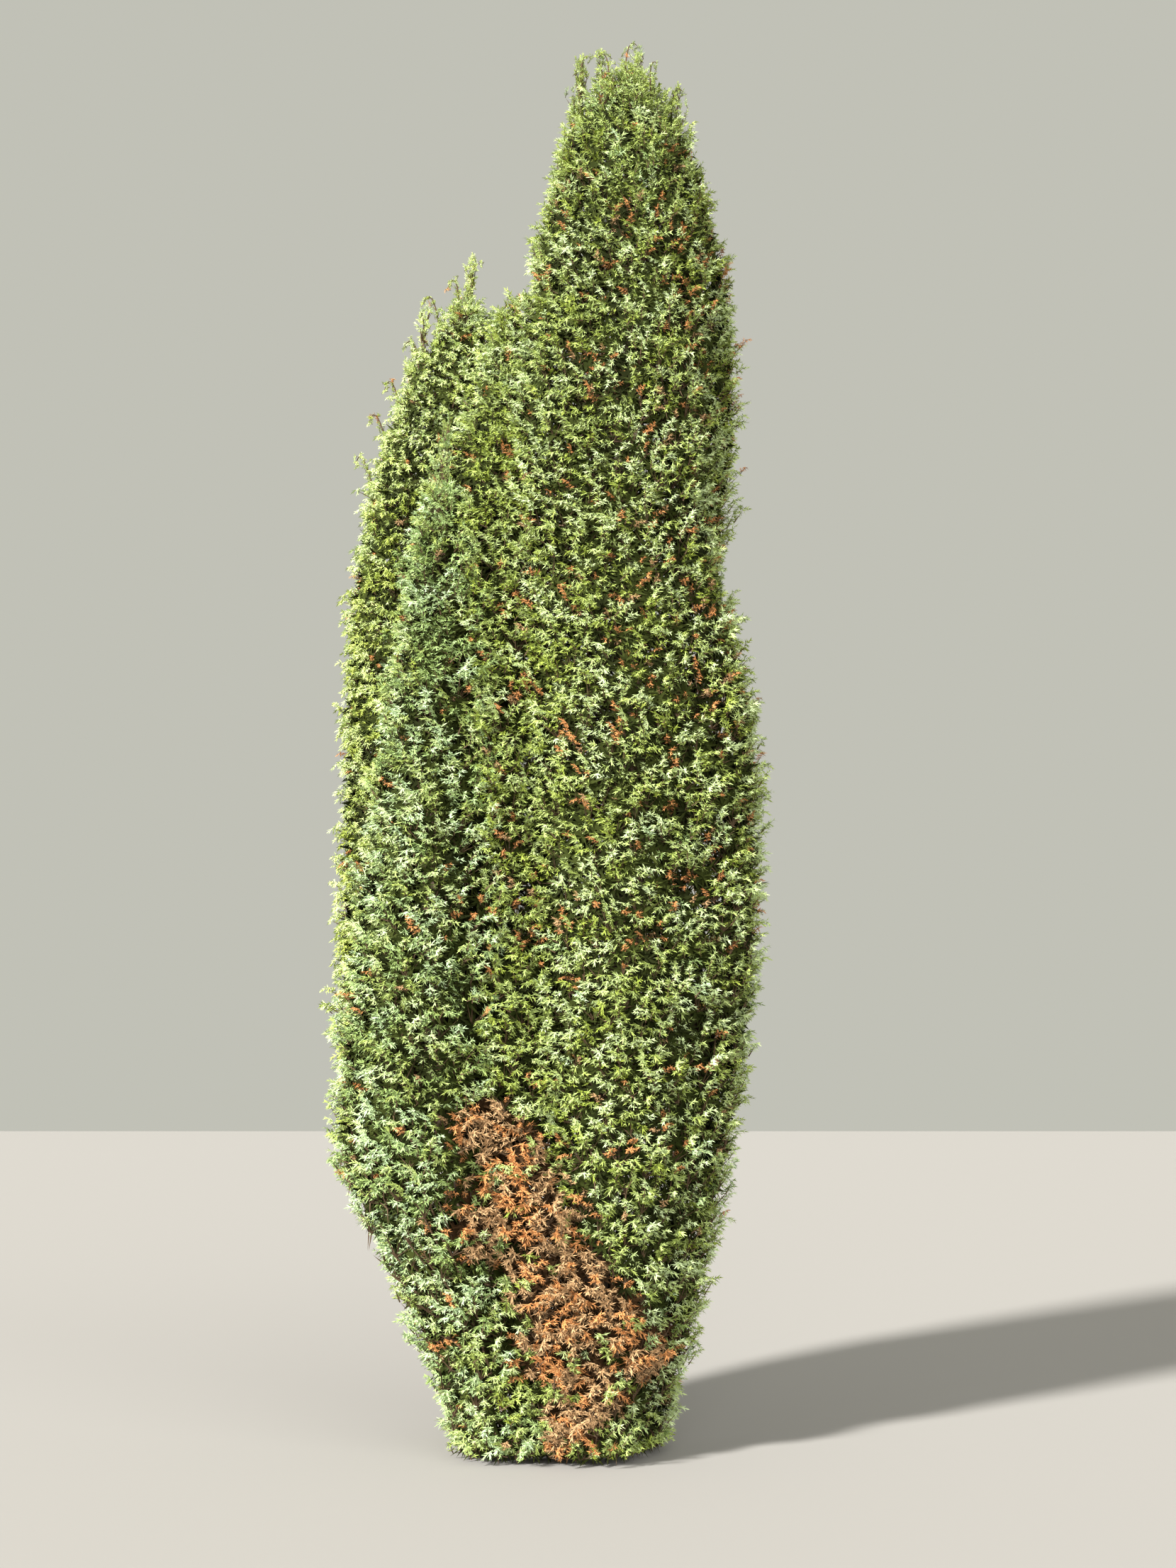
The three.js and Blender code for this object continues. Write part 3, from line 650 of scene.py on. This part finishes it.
def fine_spray(habit, random):
    """A fine spray in its own frame, out along x and up along z: its needles, its twig and its far end."""
    rule = HABITS[habit]
    side = np.array([0.0, 1.0, 0.0])
    path = bent_path(SPRAY_LENGTH, rule["slopes"], random.uniform(-SPRAY_WANDER, SPRAY_WANDER), SPRAY_STEPS)
    needles = []
    first_turn = random.uniform()
    for number in range(SIDE_SHOOTS + 1):
        share = number / SIDE_SHOOTS
        at = (FIRST_SHOOT + (1 - FIRST_SHOOT) * share) * SPRAY_STEPS
        low = min(int(at), SPRAY_STEPS - 1)
        along = unit(path[low + 1] - path[low])
        across = unit(np.cross(along, side))
        spread = (first_turn + number * GOLDEN_ANGLE / (2 * math.pi)) % 1 - 0.5
        turn = spread * SHOOTS_ROUND * 2 * math.pi
        outward = math.sin(turn) * side - math.cos(turn) * across
        opening = END_OPENING if share == 1 else rule["opening"] * random.uniform(*OPENING_RANGE)
        heading = math.cos(opening) * along + math.sin(opening) * outward
        foot = path[low] + (path[low + 1] - path[low]) * (at - low)
        vertices, faces = shoot(foot, heading, unit(outward + NEEDLE_FACING), rule["drop"], random)
        # the shoots at the spray's foot get the darkest shade: painted shade
        shade = 0 if share < DARK_FOOT else random.integers(1, SPRAY_SHADES)
        needles.append((vertices, faces, np.full(len(faces), shade)))
    twig = tube(path[[0, -1]], [TWIG_RADIUS, 0], TWIG_SIDES)
    return joined(needles), twig, path[-1]


def frames_of(outward, roll):
    """Rotations whose x axis is the outward direction and whose z axis is rolled from nearest to up."""
    x = unit(outward)
    y = unit(np.cross([0.0, 0.0, 1.0], x))
    z = np.cross(x, y)
    cos, sin = np.cos(roll)[:, None], np.sin(roll)[:, None]
    return np.stack([x, cos * y + sin * z, cos * z - sin * y], axis=2)


def placed(template, frames, origins, scales, first_slots):
    """Copies of a template, turned, scaled and moved. first_slots adds to each copy's material indices."""
    vertices, faces, slots = template
    turned = np.einsum("nij,vj->nvi", frames * scales[:, None, None], vertices) + origins[:, None, :]
    starts = (np.arange(len(origins)) * len(vertices))[:, None, None]
    all_slots = slots[None, :] + first_slots[:, None]
    return turned.reshape(-1, 3), (faces[None, :, :] + starts).reshape(-1, 3), all_slots.reshape(-1)


# Materials

def plain_material(name, colour, roughness=0.65, specular=0.12):
    material = bpy.data.materials.new(name)
    material.use_nodes = True
    shader = material.node_tree.nodes["Principled BSDF"]
    shader.inputs["Base Color"].default_value = (*colour, 1)
    shader.inputs["Roughness"].default_value = roughness
    shader.inputs["Specular IOR Level"].default_value = specular
    return material


def needle_materials():
    """Every shade of each colour, in the order that a spray's material indices count them: lit and shaded
    copies, which are painted light and painted shade.
    """
    made = []
    for index, (name, colour) in enumerate(COLOURS.items()):
        for number, shade in enumerate(SHADES):
            # the lighter shades get a grey tint: the waxy band and a painted highlight
            wax_and_highlight = 0 if index >= FIRST_DEAD else number ** 2
            tinted = [part * shade + tint * wax_and_highlight for part, tint in zip(colour, WAX_AND_HIGHLIGHT_TINT)]
            made.append(plain_material(f"needle_{name}_{number + 1}", tinted))
    return made


def bark_material():
    material = bpy.data.materials.new("juniper_bark")
    material.use_nodes = True
    nodes, links = material.node_tree.nodes, material.node_tree.links
    shader = nodes["Principled BSDF"]
    shader.inputs["Roughness"].default_value = 0.85
    place = nodes.new("ShaderNodeTexCoord")
    stretch = nodes.new("ShaderNodeMapping")
    stretch.inputs["Scale"].default_value = (42, 42, 5)
    noise = nodes.new("ShaderNodeTexNoise")
    noise.inputs["Scale"].default_value = 1
    noise.inputs["Detail"].default_value = 6
    ramp = nodes.new("ShaderNodeValToRGB")
    for stop, position, colour in zip(ramp.color_ramp.elements, [0.35, 0.68], [BARK_DARK, BARK_PALE]):
        stop.position = position
        stop.color = (*colour, 1)
    bump = nodes.new("ShaderNodeBump")
    bump.inputs["Strength"].default_value = 0.5
    bump.inputs["Distance"].default_value = 0.004
    links.new(place.outputs["Object"], stretch.inputs["Vector"])
    links.new(stretch.outputs["Vector"], noise.inputs["Vector"])
    links.new(noise.outputs["Fac"], ramp.inputs["Fac"])
    links.new(ramp.outputs["Color"], shader.inputs["Base Color"])
    links.new(noise.outputs["Fac"], bump.inputs["Height"])
    links.new(bump.outputs["Normal"], shader.inputs["Normal"])
    return material


# Limbs and boughs

def limb_radius(name, top, height, angle):
    left = np.clip(1 - height / top, 0, 1)
    if name != "trunk":
        return TIP_RADIUS + STEM_RADIUS * left ** STEM_TAPER
    flare = np.exp(-height / FLARE_HEIGHT)
    swell = (1 + FLARE * flare) * (1 + BUTTRESS_DEPTH * flare * np.cos(BUTTRESSES * angle))
    return (TIP_RADIUS + TRUNK_RADIUS * left ** TRUNK_TAPER) * swell


def bark_relief(angle, height):
    """The bark's height, which is at most 0: long flaky strips with deep, wandering seams between them."""
    wander = 0.5 * np.sin(6.8 * height + 2 * angle) + 0.35 * np.sin(9.1 * height + 5 * angle + 1)
    strips = np.abs(np.sin(BARK_STRIPS / 2 * (angle + 0.09 * wander) + 0.6 * np.sin(3.3 * height)))
    flakes = 0.5 + 0.5 * np.sin(31 * height + 7 * angle + 2 * np.sin(5 * angle))
    return -(1 - strips ** 0.5) - 0.25 * flakes


def limb_vertices(name, line, sides, rings):
    """Rings round a limb's line with the bark in relief, then the middles of its two ends."""
    bottom, top = line[0, 2], line[-1, 2]
    shares = np.linspace(0, 1, rings + 1)
    heights = bottom + (top - bottom) * shares * (1 - RING_EASE * (1 - shares))
    angles = np.arange(sides) * 2 * math.pi / sides
    height, angle = np.meshgrid(heights, angles, indexing="ij")
    radius = limb_radius(name, top, height, angle)
    radius = radius + BARK_RELIEF * np.minimum(radius / TRUNK_RADIUS, 1) * bark_relief(angle, height)
    centre = line_at(line, height)
    x = centre[..., 0] + radius * np.sin(angle)
    y = centre[..., 1] - radius * np.cos(angle)
    around = np.stack([x, y, height], axis=-1).reshape(-1, 3)
    return np.vstack([around, line_at(line, bottom), line_at(line, top)])


def limb_faces(sides, rings):
    """The triangles between a limb's rings, and of the fans that close its ends."""
    ring, side = np.meshgrid(np.arange(rings), np.arange(sides), indexing="ij")
    a = (ring * sides + side).ravel()
    b = (ring * sides + (side + 1) % sides).ravel()
    around = np.arange(sides)
    turned = (around + 1) % sides
    last = rings * sides
    low = np.full(sides, last + sides)
    return np.vstack([
        np.stack([a, b, b + sides], axis=1),
        np.stack([a, b + sides, a + sides], axis=1),
        np.stack([turned, around, low], axis=1),
        np.stack([around + last, turned + last, low + 1], axis=1),
    ])


def limb_piece(name, limb, material):
    """A limb with its bark in relief. Gives back the line that its middle follows."""
    line = smooth_line(limb["path"])
    vertices = limb_vertices(name, line, limb["sides"], limb["rings"])
    faces = limb_faces(limb["sides"], limb["rings"])
    piece = mesh_object(name + "_bark", vertices, faces, np.zeros(len(faces)), [material], smooth=True)
    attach(piece, "root")
    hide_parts(name)
    return line


def branch_start(mass):
    """Where a mass's branch leaves its limb: below its site, by how far the site stands off."""
    line = limb_lines[mass["column"]["limb"]]
    site = mass["site"]
    run = np.linalg.norm(site - line_at(line, site[2]))
    highest = min(site[2] - run * BRANCH_SLOPE, line[-1, 2] - TIP_RADIUS)
    return line_at(line, max(highest, line[0, 2] + LOWEST_BRANCH))


def branch_tube(mass):
    start, site = branch_start(mass), mass["site"]
    radius = LEADER_BRANCH_RADIUS if mass["column"]["is_leader"] else BRANCH_RADIUS
    end = site + (site - start) * BRANCH_PAST_SITE
    return tube([start, site, end], [radius, radius * BRANCH_TAPER, 0], BRANCH_SIDES)


def bough_tube(mass, column, inner, random):
    """A bough that bends up to where a bunch's twigs part. It grows from the branch of its mass, or from the
    limb itself where its column isn't the mass's own."""
    start = mass["site"] + (branch_start(mass) - mass["site"]) * random.uniform(0, BOUGH_START)
    middle = (start + inner) / 2 + [0, 0, -BOUGH_SAG]
    if mass["column"] is not column:
        line = limb_lines[column["limb"]]
        start_below, middle_below = BOUGH_BELOW
        start = line_at(line, np.clip(inner[2] - start_below, line[0, 2] + LOWEST_BRANCH, line[-1, 2]))
        middle = line_at(column["line"], inner[2] - middle_below)
    end = inner + (inner - middle) * BOUGH_PAST_BUNCH
    return tube([start, middle, inner, end], BOUGH_RADII, BOUGH_SIDES)


# Foliage

def living_colour(name, height, chance):
    kind = "middle" if MIDDLE_HEIGHTS[0] <= height <= MIDDLE_HEIGHTS[1] else "ends"
    mix = MIXES[next((part for part in ("front_left", "rear") if part in name), kind)]
    return next(colour for colour, limit in mix.items() if chance < limit)


def lump_share(points):
    """How far points are from the middle of the nearest dead lump, in its radius. Over 1 is outside it."""
    lumps = np.array(DEAD_LUMPS)
    away = np.hypot(points[:, None, 0] - lumps[:, 0], points[:, None, 2] - lumps[:, 1]) / lumps[:, 2]
    return np.where(points[:, 1] < 0, away.min(axis=1), 2)


def tone_of(points, column, half_dead, patches, random):
    """The colour number of each spray, by its place, by its bunch's patch of colour and by chance."""
    names = list(COLOURS)
    tones = []
    for height, browned, patch, share in zip(points[:, 2], half_dead, patches, lump_share(points)):
        chance = patch * PATCH_MIX + random.uniform() * (1 - PATCH_MIX)
        colour = living_colour(column["name"], height, chance)
        dead_chance = max(np.interp(share, LUMP_FADE, LUMP_CHANCES), DEAD_CHANCES[0 if browned else 1])
        if random.uniform() < dead_chance:
            is_tan = random.uniform() < TAN_CHANCES[0 if share < 1 else 1]
            colour = "tan" if is_tan else "orange_brown"
        tones.append(names.index(colour))
    return np.array(tones)


def is_between(heights, limits):
    return (heights > limits[0]) & (heights < limits[1])


def half_dead_share(points, name):
    x, y, z = points.T
    if name == "groove":
        return np.where(z < GROOVE_SHADED, GROOVE_HALF_DEAD, 0)
    if name != "main":
        return np.full(len(points), OTHER_HALF_DEAD)
    to_right = np.clip((x - RIGHT_START) / RIGHT_RUN, 0, 1)
    share = MAIN_HALF_DEAD + RIGHT_HALF_DEAD * to_right * is_between(z, RIGHT_HEIGHTS)
    by_edge = (x < EDGE_CORNER[0]) & (y < EDGE_CORNER[1]) & is_between(z, EDGE_HEIGHTS)
    return np.where(by_edge, EDGE_HALF_DEAD, share)


def light_shift(name, height):
    limit, below, above = next(shift for part, shift in LIGHT_SHIFTS.items() if part in name)
    return np.where(height > limit, above, below)


def nearest_of(points, middles, spacing):
    """The nearest of the middles to each point, and how far the point is from it, in spacings."""
    nearest = np.argmin(np.linalg.norm(points[:, None, :] - middles[None, :, :], axis=2), axis=1)
    return nearest, (points - middles[nearest]) / spacing


def nodding_inset(away, rounding, undercut):
    """How far inside the surface a nodding fan or bunch lies: its rim a little, its underside most."""
    rim = np.minimum(np.linalg.norm(away, axis=1) / NOD_RIM, NOD_LIMIT) ** 2
    return rounding * rim + undercut * np.clip(UNDERSIDE_START - away[:, 2], 0, UNDERSIDE_HEIGHT)


def grow_bunches(column, random):
    """Every bunch of a column: its middle, where its twigs part, its setback, its lightness, its patch of
    colour and whether it is half dead. A bough grows to each."""
    middles, outward, owners = open_places(column, columns, BUNCH_SPACING, random)
    fans = open_places(column, columns, FAN_SPACING, random)[0]
    setback = random.uniform(0, BUNCH_UNEVEN, len(middles))
    patches = random.uniform(0, 1, len(middles))
    if len(fans) and not column["is_leader"]:
        fan, away = nearest_of(middles, fans, FAN_SPACING)
        setback += nodding_inset(away, FAN_ROUND, FAN_UNDERCUT)
        patches = (patches + random.uniform(0, 1, len(fans))[fan]) / 2
    depth = np.minimum(BUNCH_DEPTH, BUNCH_DEPTH_SHARE * reach_at(column, middles[:, 2], 0))
    inner = middles - outward * depth[:, None] - [0, 0, BUNCH_DROP]
    inner[:, 2] = np.maximum(inner[:, 2], GROUND_CLEARANCE)
    lightness = random.choice(LIGHTNESSES, len(middles), p=LIGHTNESS_SHARES)
    # painted light and painted shade, by column and height, on top of the bunch's random lightness
    lightness = lightness + light_shift(column["name"], middles[:, 2])
    half_dead = random.uniform(0, 1, len(middles)) < half_dead_share(middles, column["name"])
    for place, mass in zip(inner, owners):
        twig_batches[mass].append(bough_tube(masses[mass], column, place, random))
    return middles, inner, setback, lightness, patches, half_dead


def add_sprays(tips, x_axis, scales, tones, lights, owners, habit, random):
    """Adds fine sprays whose far ends are at the given places. Gives back their roots."""
    frames = frames_of(x_axis, random.uniform(-SPRAY_ROLL, SPRAY_ROLL, len(tips)))
    kinds = random.integers(0, SPRAY_KINDS, len(tips))
    ends = np.array([end for _, _, end in templates[habit]])[kinds]
    roots = tips - np.einsum("nij,nj->ni", frames, ends) * scales[:, None]
    roots[:, 2] = np.maximum(roots[:, 2], GROUND_CLEARANCE)
    first_slots = tones * len(SHADES) + lights
    for kind in range(SPRAY_KINDS):
        for mass in np.unique(owners):
            chosen = (kinds == kind) & (owners == mass)
            needles, twigs, _ = templates[habit][kind]
            parts = (frames[chosen], roots[chosen], scales[chosen])
            needle_batches[mass].append(placed(needles, *parts, first_slots[chosen]))
            twig_batches[mass].append(placed(twigs, *parts, np.zeros(chosen.sum(), int)))
    return roots


def spray_insets(column, points, away, setback, dead, lump, random):
    inset = setback + nodding_inset(away, BUNCH_ROUND, BUNCH_UNDERCUT)
    inset = np.minimum(inset + dead * DEAD_INSET + (lump < LUMP_GAP) * LUMP_GAP_DEPTH, DEEPEST)
    inset = np.where(lump < 1, LUMP_ROUND * lump ** 2, inset)
    inset *= np.where(in_crease(column, points), CREASE_INSET, 1)
    inset += random.uniform(0, SPRAY_UNEVEN, len(points))
    return inset - STRAY_REACH * (random.uniform(0, 1, len(points)) < STRAY_CHANCE)


def spray_axes(column, tips, outward, away):
    """Which way each spray grows: away from its bunch's middle, and more upward near its column's top."""
    heading = unit(outward + BUNCH_SPREAD * away)
    share = (tips[:, 2] - column["bottom"]) / (column["top"] - column["bottom"])
    lift = np.maximum(heading[:, 2], SPRAY_LEAST_RISE) * SPRAY_LIFT
    lift = lift + np.clip((share - (1 - TOP_SHARE)) / TOP_SHARE, 0, 1) * TOP_LIFT
    return unit(heading * [1, 1, 0] + outward * SPRAY_OUTWARD + np.array([0, 0, 1]) * lift[:, None])


def spray_lights(lightness, away, lump):
    """The lightness of each spray: more over its bunch's middle than under it, as painted light and painted
    shade, and less to a lump's rim, as painted shade.
    """
    lights = lightness + (away[:, 2] > LIT_SIDE) - (away[:, 2] < -LIT_SIDE).astype(int)
    # a dead lump's sprays: painted light at its middle, painted shade to its rim
    lights = np.where(lump < 1, LUMP_LIGHTS[0] + LUMP_LIGHTS[1] * lump, lights)
    return np.clip(lights, 0, LIGHTNESSES - 1).astype(int)


def cover_column(column, random):
    """Covers what shows of a column in fine sprays, which its bunches bear."""
    points, outward, owners = open_places(column, columns, SPRAY_SPACING, random)
    middles, inner, setback, lightness, patches, half_dead = grow_bunches(column, random)
    nearest, away = nearest_of(points, middles, BUNCH_SPACING)
    tones = tone_of(points, column, half_dead[nearest], patches[nearest], random)
    dead = tones >= FIRST_DEAD
    lump = lump_share(points)
    inset = spray_insets(column, points, away, setback[nearest], dead, lump, random)
    narrow = np.clip(reach_at(column, points[:, 2], 0) / LEADER_FULL, LEADER_SMALLEST, 1)
    tips = points - outward * (inset * narrow)[:, None]
    x_axis = spray_axes(column, tips, outward, away)
    scales = random.uniform(*SPRAY_SCALES, len(tips))
    scales = scales * np.where(lump < 1, LUMP_SCALE, np.where(dead, DEAD_SCALE, 1))
    lights = spray_lights(lightness[nearest], away, lump)
    roots = add_sprays(tips, x_axis, scales * narrow, tones, lights, owners, column["habit"], random)
    for root, number, mass in zip(roots, nearest, owners):
        twig_batches[mass].append(tube([inner[number], root], [LINK_RADIUS, 0], TWIG_SIDES))


def wisp_path(points):
    """A line from a root over its highest point to its tip."""
    root, high, tip = (np.array(point, float) for point in points)
    bend = 2 * high - (root + tip) / 2
    shares = np.linspace(0, 1, WISP_STEPS)[:, None]
    return (1 - shares) ** 2 * root + 2 * shares * (1 - shares) * bend + shares ** 2 * tip


def grow_wisp(points, random):
    """A long shoot that nods over at its end, with small sprays all along it."""
    path = wisp_path(points)
    lengths = np.concatenate([[0], np.cumsum(np.linalg.norm(np.diff(path, axis=0), axis=1))])
    at = np.arange(lengths[-1] * WISP_BARE, lengths[-1], WISP_SPACING)
    tips = np.stack([np.interp(at, lengths, path[:, k]) for k in range(3)], axis=1)
    ahead = np.stack([np.interp(at + WISP_SPACING, lengths, path[:, k]) for k in range(3)], axis=1)
    turn = np.arange(len(at)) * GOLDEN_ANGLE
    around = np.stack([np.cos(turn), np.sin(turn), np.full(len(at), WISP_RISE)], axis=1)
    x_axis = unit(unit(ahead - tips) + around * WISP_OPENING)
    scales = WISP_SCALE * np.linspace(*WISP_SCALES, len(at))
    owners = owner_of(tips)
    column = masses[owners[0]]["column"]
    tips = tips + around * WISP_SPREAD * [1, 1, 0] * np.linspace(1, WISP_TIP_SPREAD, len(at))[:, None]
    lights = random.integers(0, LIGHTNESSES, len(at))
    tones = tone_of(tips, column, np.zeros(len(tips), bool), random.uniform(0, 1, len(tips)), random)
    habit = "weeping" if "rear" in column["name"] else "upright"
    add_sprays(tips, x_axis, scales, tones, lights, owners, habit, random)
    twig_batches[owners[0]].append(tube(path, np.linspace(*WISP_RADII, len(path)), BOUGH_SIDES))


def inner_spray(random):
    """A coarse dark spray of broad needles round its middle, which grows out along x. Its dark colour is
    painted shade.
    """
    numbers = np.arange(INNER_SHOOTS)
    up = 1 - 2 * (numbers + 0.5) / INNER_SHOOTS
    turn = numbers * GOLDEN_ANGLE + random.uniform(-INNER_STRAY, INNER_STRAY, INNER_SHOOTS)
    level = np.sqrt(1 - up ** 2)
    directions = unit(np.stack([INNER_FORWARD * level * np.cos(turn), level * np.sin(turn), up], axis=1))
    strayed = random.uniform(-INNER_STRAY, INNER_STRAY, (INNER_SHOOTS, 3))
    sideways = unit(np.cross(directions, [1.0, 0.2, 0.1]) + strayed)
    lengths = INNER_LENGTH * random.uniform(*SPRAY_SCALES, INNER_SHOOTS)
    vertices, faces = awls(directions * INNER_START, directions, sideways, lengths, INNER_WIDTH)
    return vertices, faces, np.zeros(INNER_SHOOTS, int)


def build_inner(random):
    """Closes the crown with dark sprays, behind the needles and inside every column. Their near-black
    colours are painted shade.
    """
    kinds = [inner_spray(random) for _ in range(INNER_KINDS)]
    batches = []
    last_colour = len(INNER_SHADE_COLOURS) - 1
    crown = [column for column in (drawn_in(column, INNER_DEPTH) for column in columns) if column]
    for column in crown:
        points, outward, _ = open_places(column, crown, INNER_SPACING, random)
        count = len(points)
        turned = outward + random.uniform(-INNER_TURN, INNER_TURN, outward.shape)
        frames = frames_of(turned, random.uniform(-INNER_ROLL, INNER_ROLL, count))
        scales = random.uniform(*SPRAY_SCALES, count)
        tones = random.integers(0, last_colour, count)
        # under the dead lumps the inner sprays are dark brown: painted shade
        tones[lump_share(points) < 1] = last_colour
        chosen_kind = random.integers(0, len(kinds), count)
        points[:, 2] = np.maximum(points[:, 2], GROUND_CLEARANCE)
        for number, kind in enumerate(kinds):
            chosen = chosen_kind == number
            batches.append(placed(kind, frames[chosen], points[chosen], scales[chosen], tones[chosen]))
    # the inner materials are near-black painted shade
    materials = [
        plain_material(f"inner_{number + 1}", colour, roughness=0.9, specular=0.1)
        for number, colour in enumerate(INNER_SHADE_COLOURS)
    ]
    return finish_piece("inner_shade_sprays", batches, materials, range(len(masses)))


# Which masses go together in one piece, by the start of their names, and the slot of their needles
GROUPS = {
    "main_low": (["main_1", "main_2"], "needles_green"),
    "main_middle": (["main_3"], "needles_green"),
    "main_high": (["main_4"], "needles_green"),
    "main_top": (["main_5", "leader"], "needles_green"),
    "front_left": (["front_left", "tip_front"], "needles_blue_green"),
    "rear_low": (["rear_left_1", "rear_left_2"], "needles_yellow_green"),
    "rear_high": (["rear_left_3", "rear_left_4", "tip_rear"], "needles_yellow_green"),
}


def finish_piece(name, batches, materials, members):
    """Joins batches into one piece that wears only the materials it needs. Gives back its triangle count."""
    vertices, faces, slots = joined(batches)
    vertices[:, 2] = np.maximum(vertices[:, 2], LOWEST_TIP)
    worn = np.unique(slots)
    piece = mesh_object(name, vertices, faces, np.searchsorted(worn, slots), [materials[i] for i in worn])
    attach(piece, "root")
    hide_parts(*[masses[i]["name"] for i in members])
    print(f"{name}: {len(faces)} triangles")
    return len(faces)


def finish_group(group, materials, twig):
    starts, slot = GROUPS[group]
    members = [i for i, mass in enumerate(masses) if mass["name"].startswith(tuple(starts))]
    needles = [batch for i in members for batch in needle_batches[i]]
    twigs = [batch for i in members for batch in twig_batches[i] + [branch_tube(masses[i])]]
    count = finish_piece(f"needles_{group}", needles, materials, members)
    return count + finish_piece(f"twigs_{group}", twigs, [twig], members)


# The scene round the plant

def build_stage():
    far = FLOOR_SIZE
    mesh = bpy.data.meshes.new("floor")
    mesh.from_pydata([(-far, -far, 0), (far, -far, 0), (far, far, 0), (-far, far, 0)], [], [(0, 1, 2, 3)])
    mesh.materials.append(plain_material("floor", FLOOR_COLOUR, roughness=0.9))
    floor = bpy.data.objects.new("floor", mesh)
    bpy.context.scene.collection.objects.link(floor)


def build_lights():
    """A soft low light from the front left, like the photo's late sun, and an even pale surround."""
    for name, heading, strength, softness, colour in LIGHTS:
        lamp = bpy.data.lights.new(name, "SUN")
        lamp.energy = strength
        lamp.angle = math.radians(softness)
        lamp.color = colour
        light = bpy.data.objects.new(name, lamp)
        light.rotation_euler = Vector(heading).to_track_quat("-Z", "Y").to_euler()
        bpy.context.scene.collection.objects.link(light)
    world = bpy.data.worlds.new("studio")
    world.use_nodes = True
    background = world.node_tree.nodes["Background"]
    background.inputs["Color"].default_value = (*WORLD_COLOUR, 1)
    background.inputs["Strength"].default_value = WORLD_STRENGTH
    bpy.context.scene.world = world


def build_camera():
    lens = bpy.data.cameras.new("camera")
    lens.lens = LENS
    lens.sensor_width = SENSOR_WIDTH
    lens.sensor_fit = "AUTO"
    camera = bpy.data.objects.new("camera", lens)
    camera.location = CAMERA_PLACE
    camera.rotation_euler = (math.radians(90 + CAMERA_PITCH), 0, 0)
    bpy.context.scene.collection.objects.link(camera)
    bpy.context.scene.camera = camera


bark = bark_material()
limb_lines = {name: limb_piece(name, limb, bark) for name, limb in LIMBS.items()}
random = np.random.default_rng(SEED)
templates = {habit: [fine_spray(habit, random) for _ in range(SPRAY_KINDS)] for habit in HABITS}
needle_batches = [[] for _ in masses]
twig_batches = [[] for _ in masses]
for column in columns:
    cover_column(column, random)
for points in WISPS:
    grow_wisp(points, random)
needle_colours = needle_materials()
twig_material = plain_material("twig", TWIG_COLOUR, roughness=0.8)
total = sum(finish_group(group, needle_colours, twig_material) for group in GROUPS)
total += build_inner(random)
print("triangles in the foliage:", total)
build_stage()
build_lights()
build_camera()
bpy.context.scene.view_settings.view_transform = "Standard"
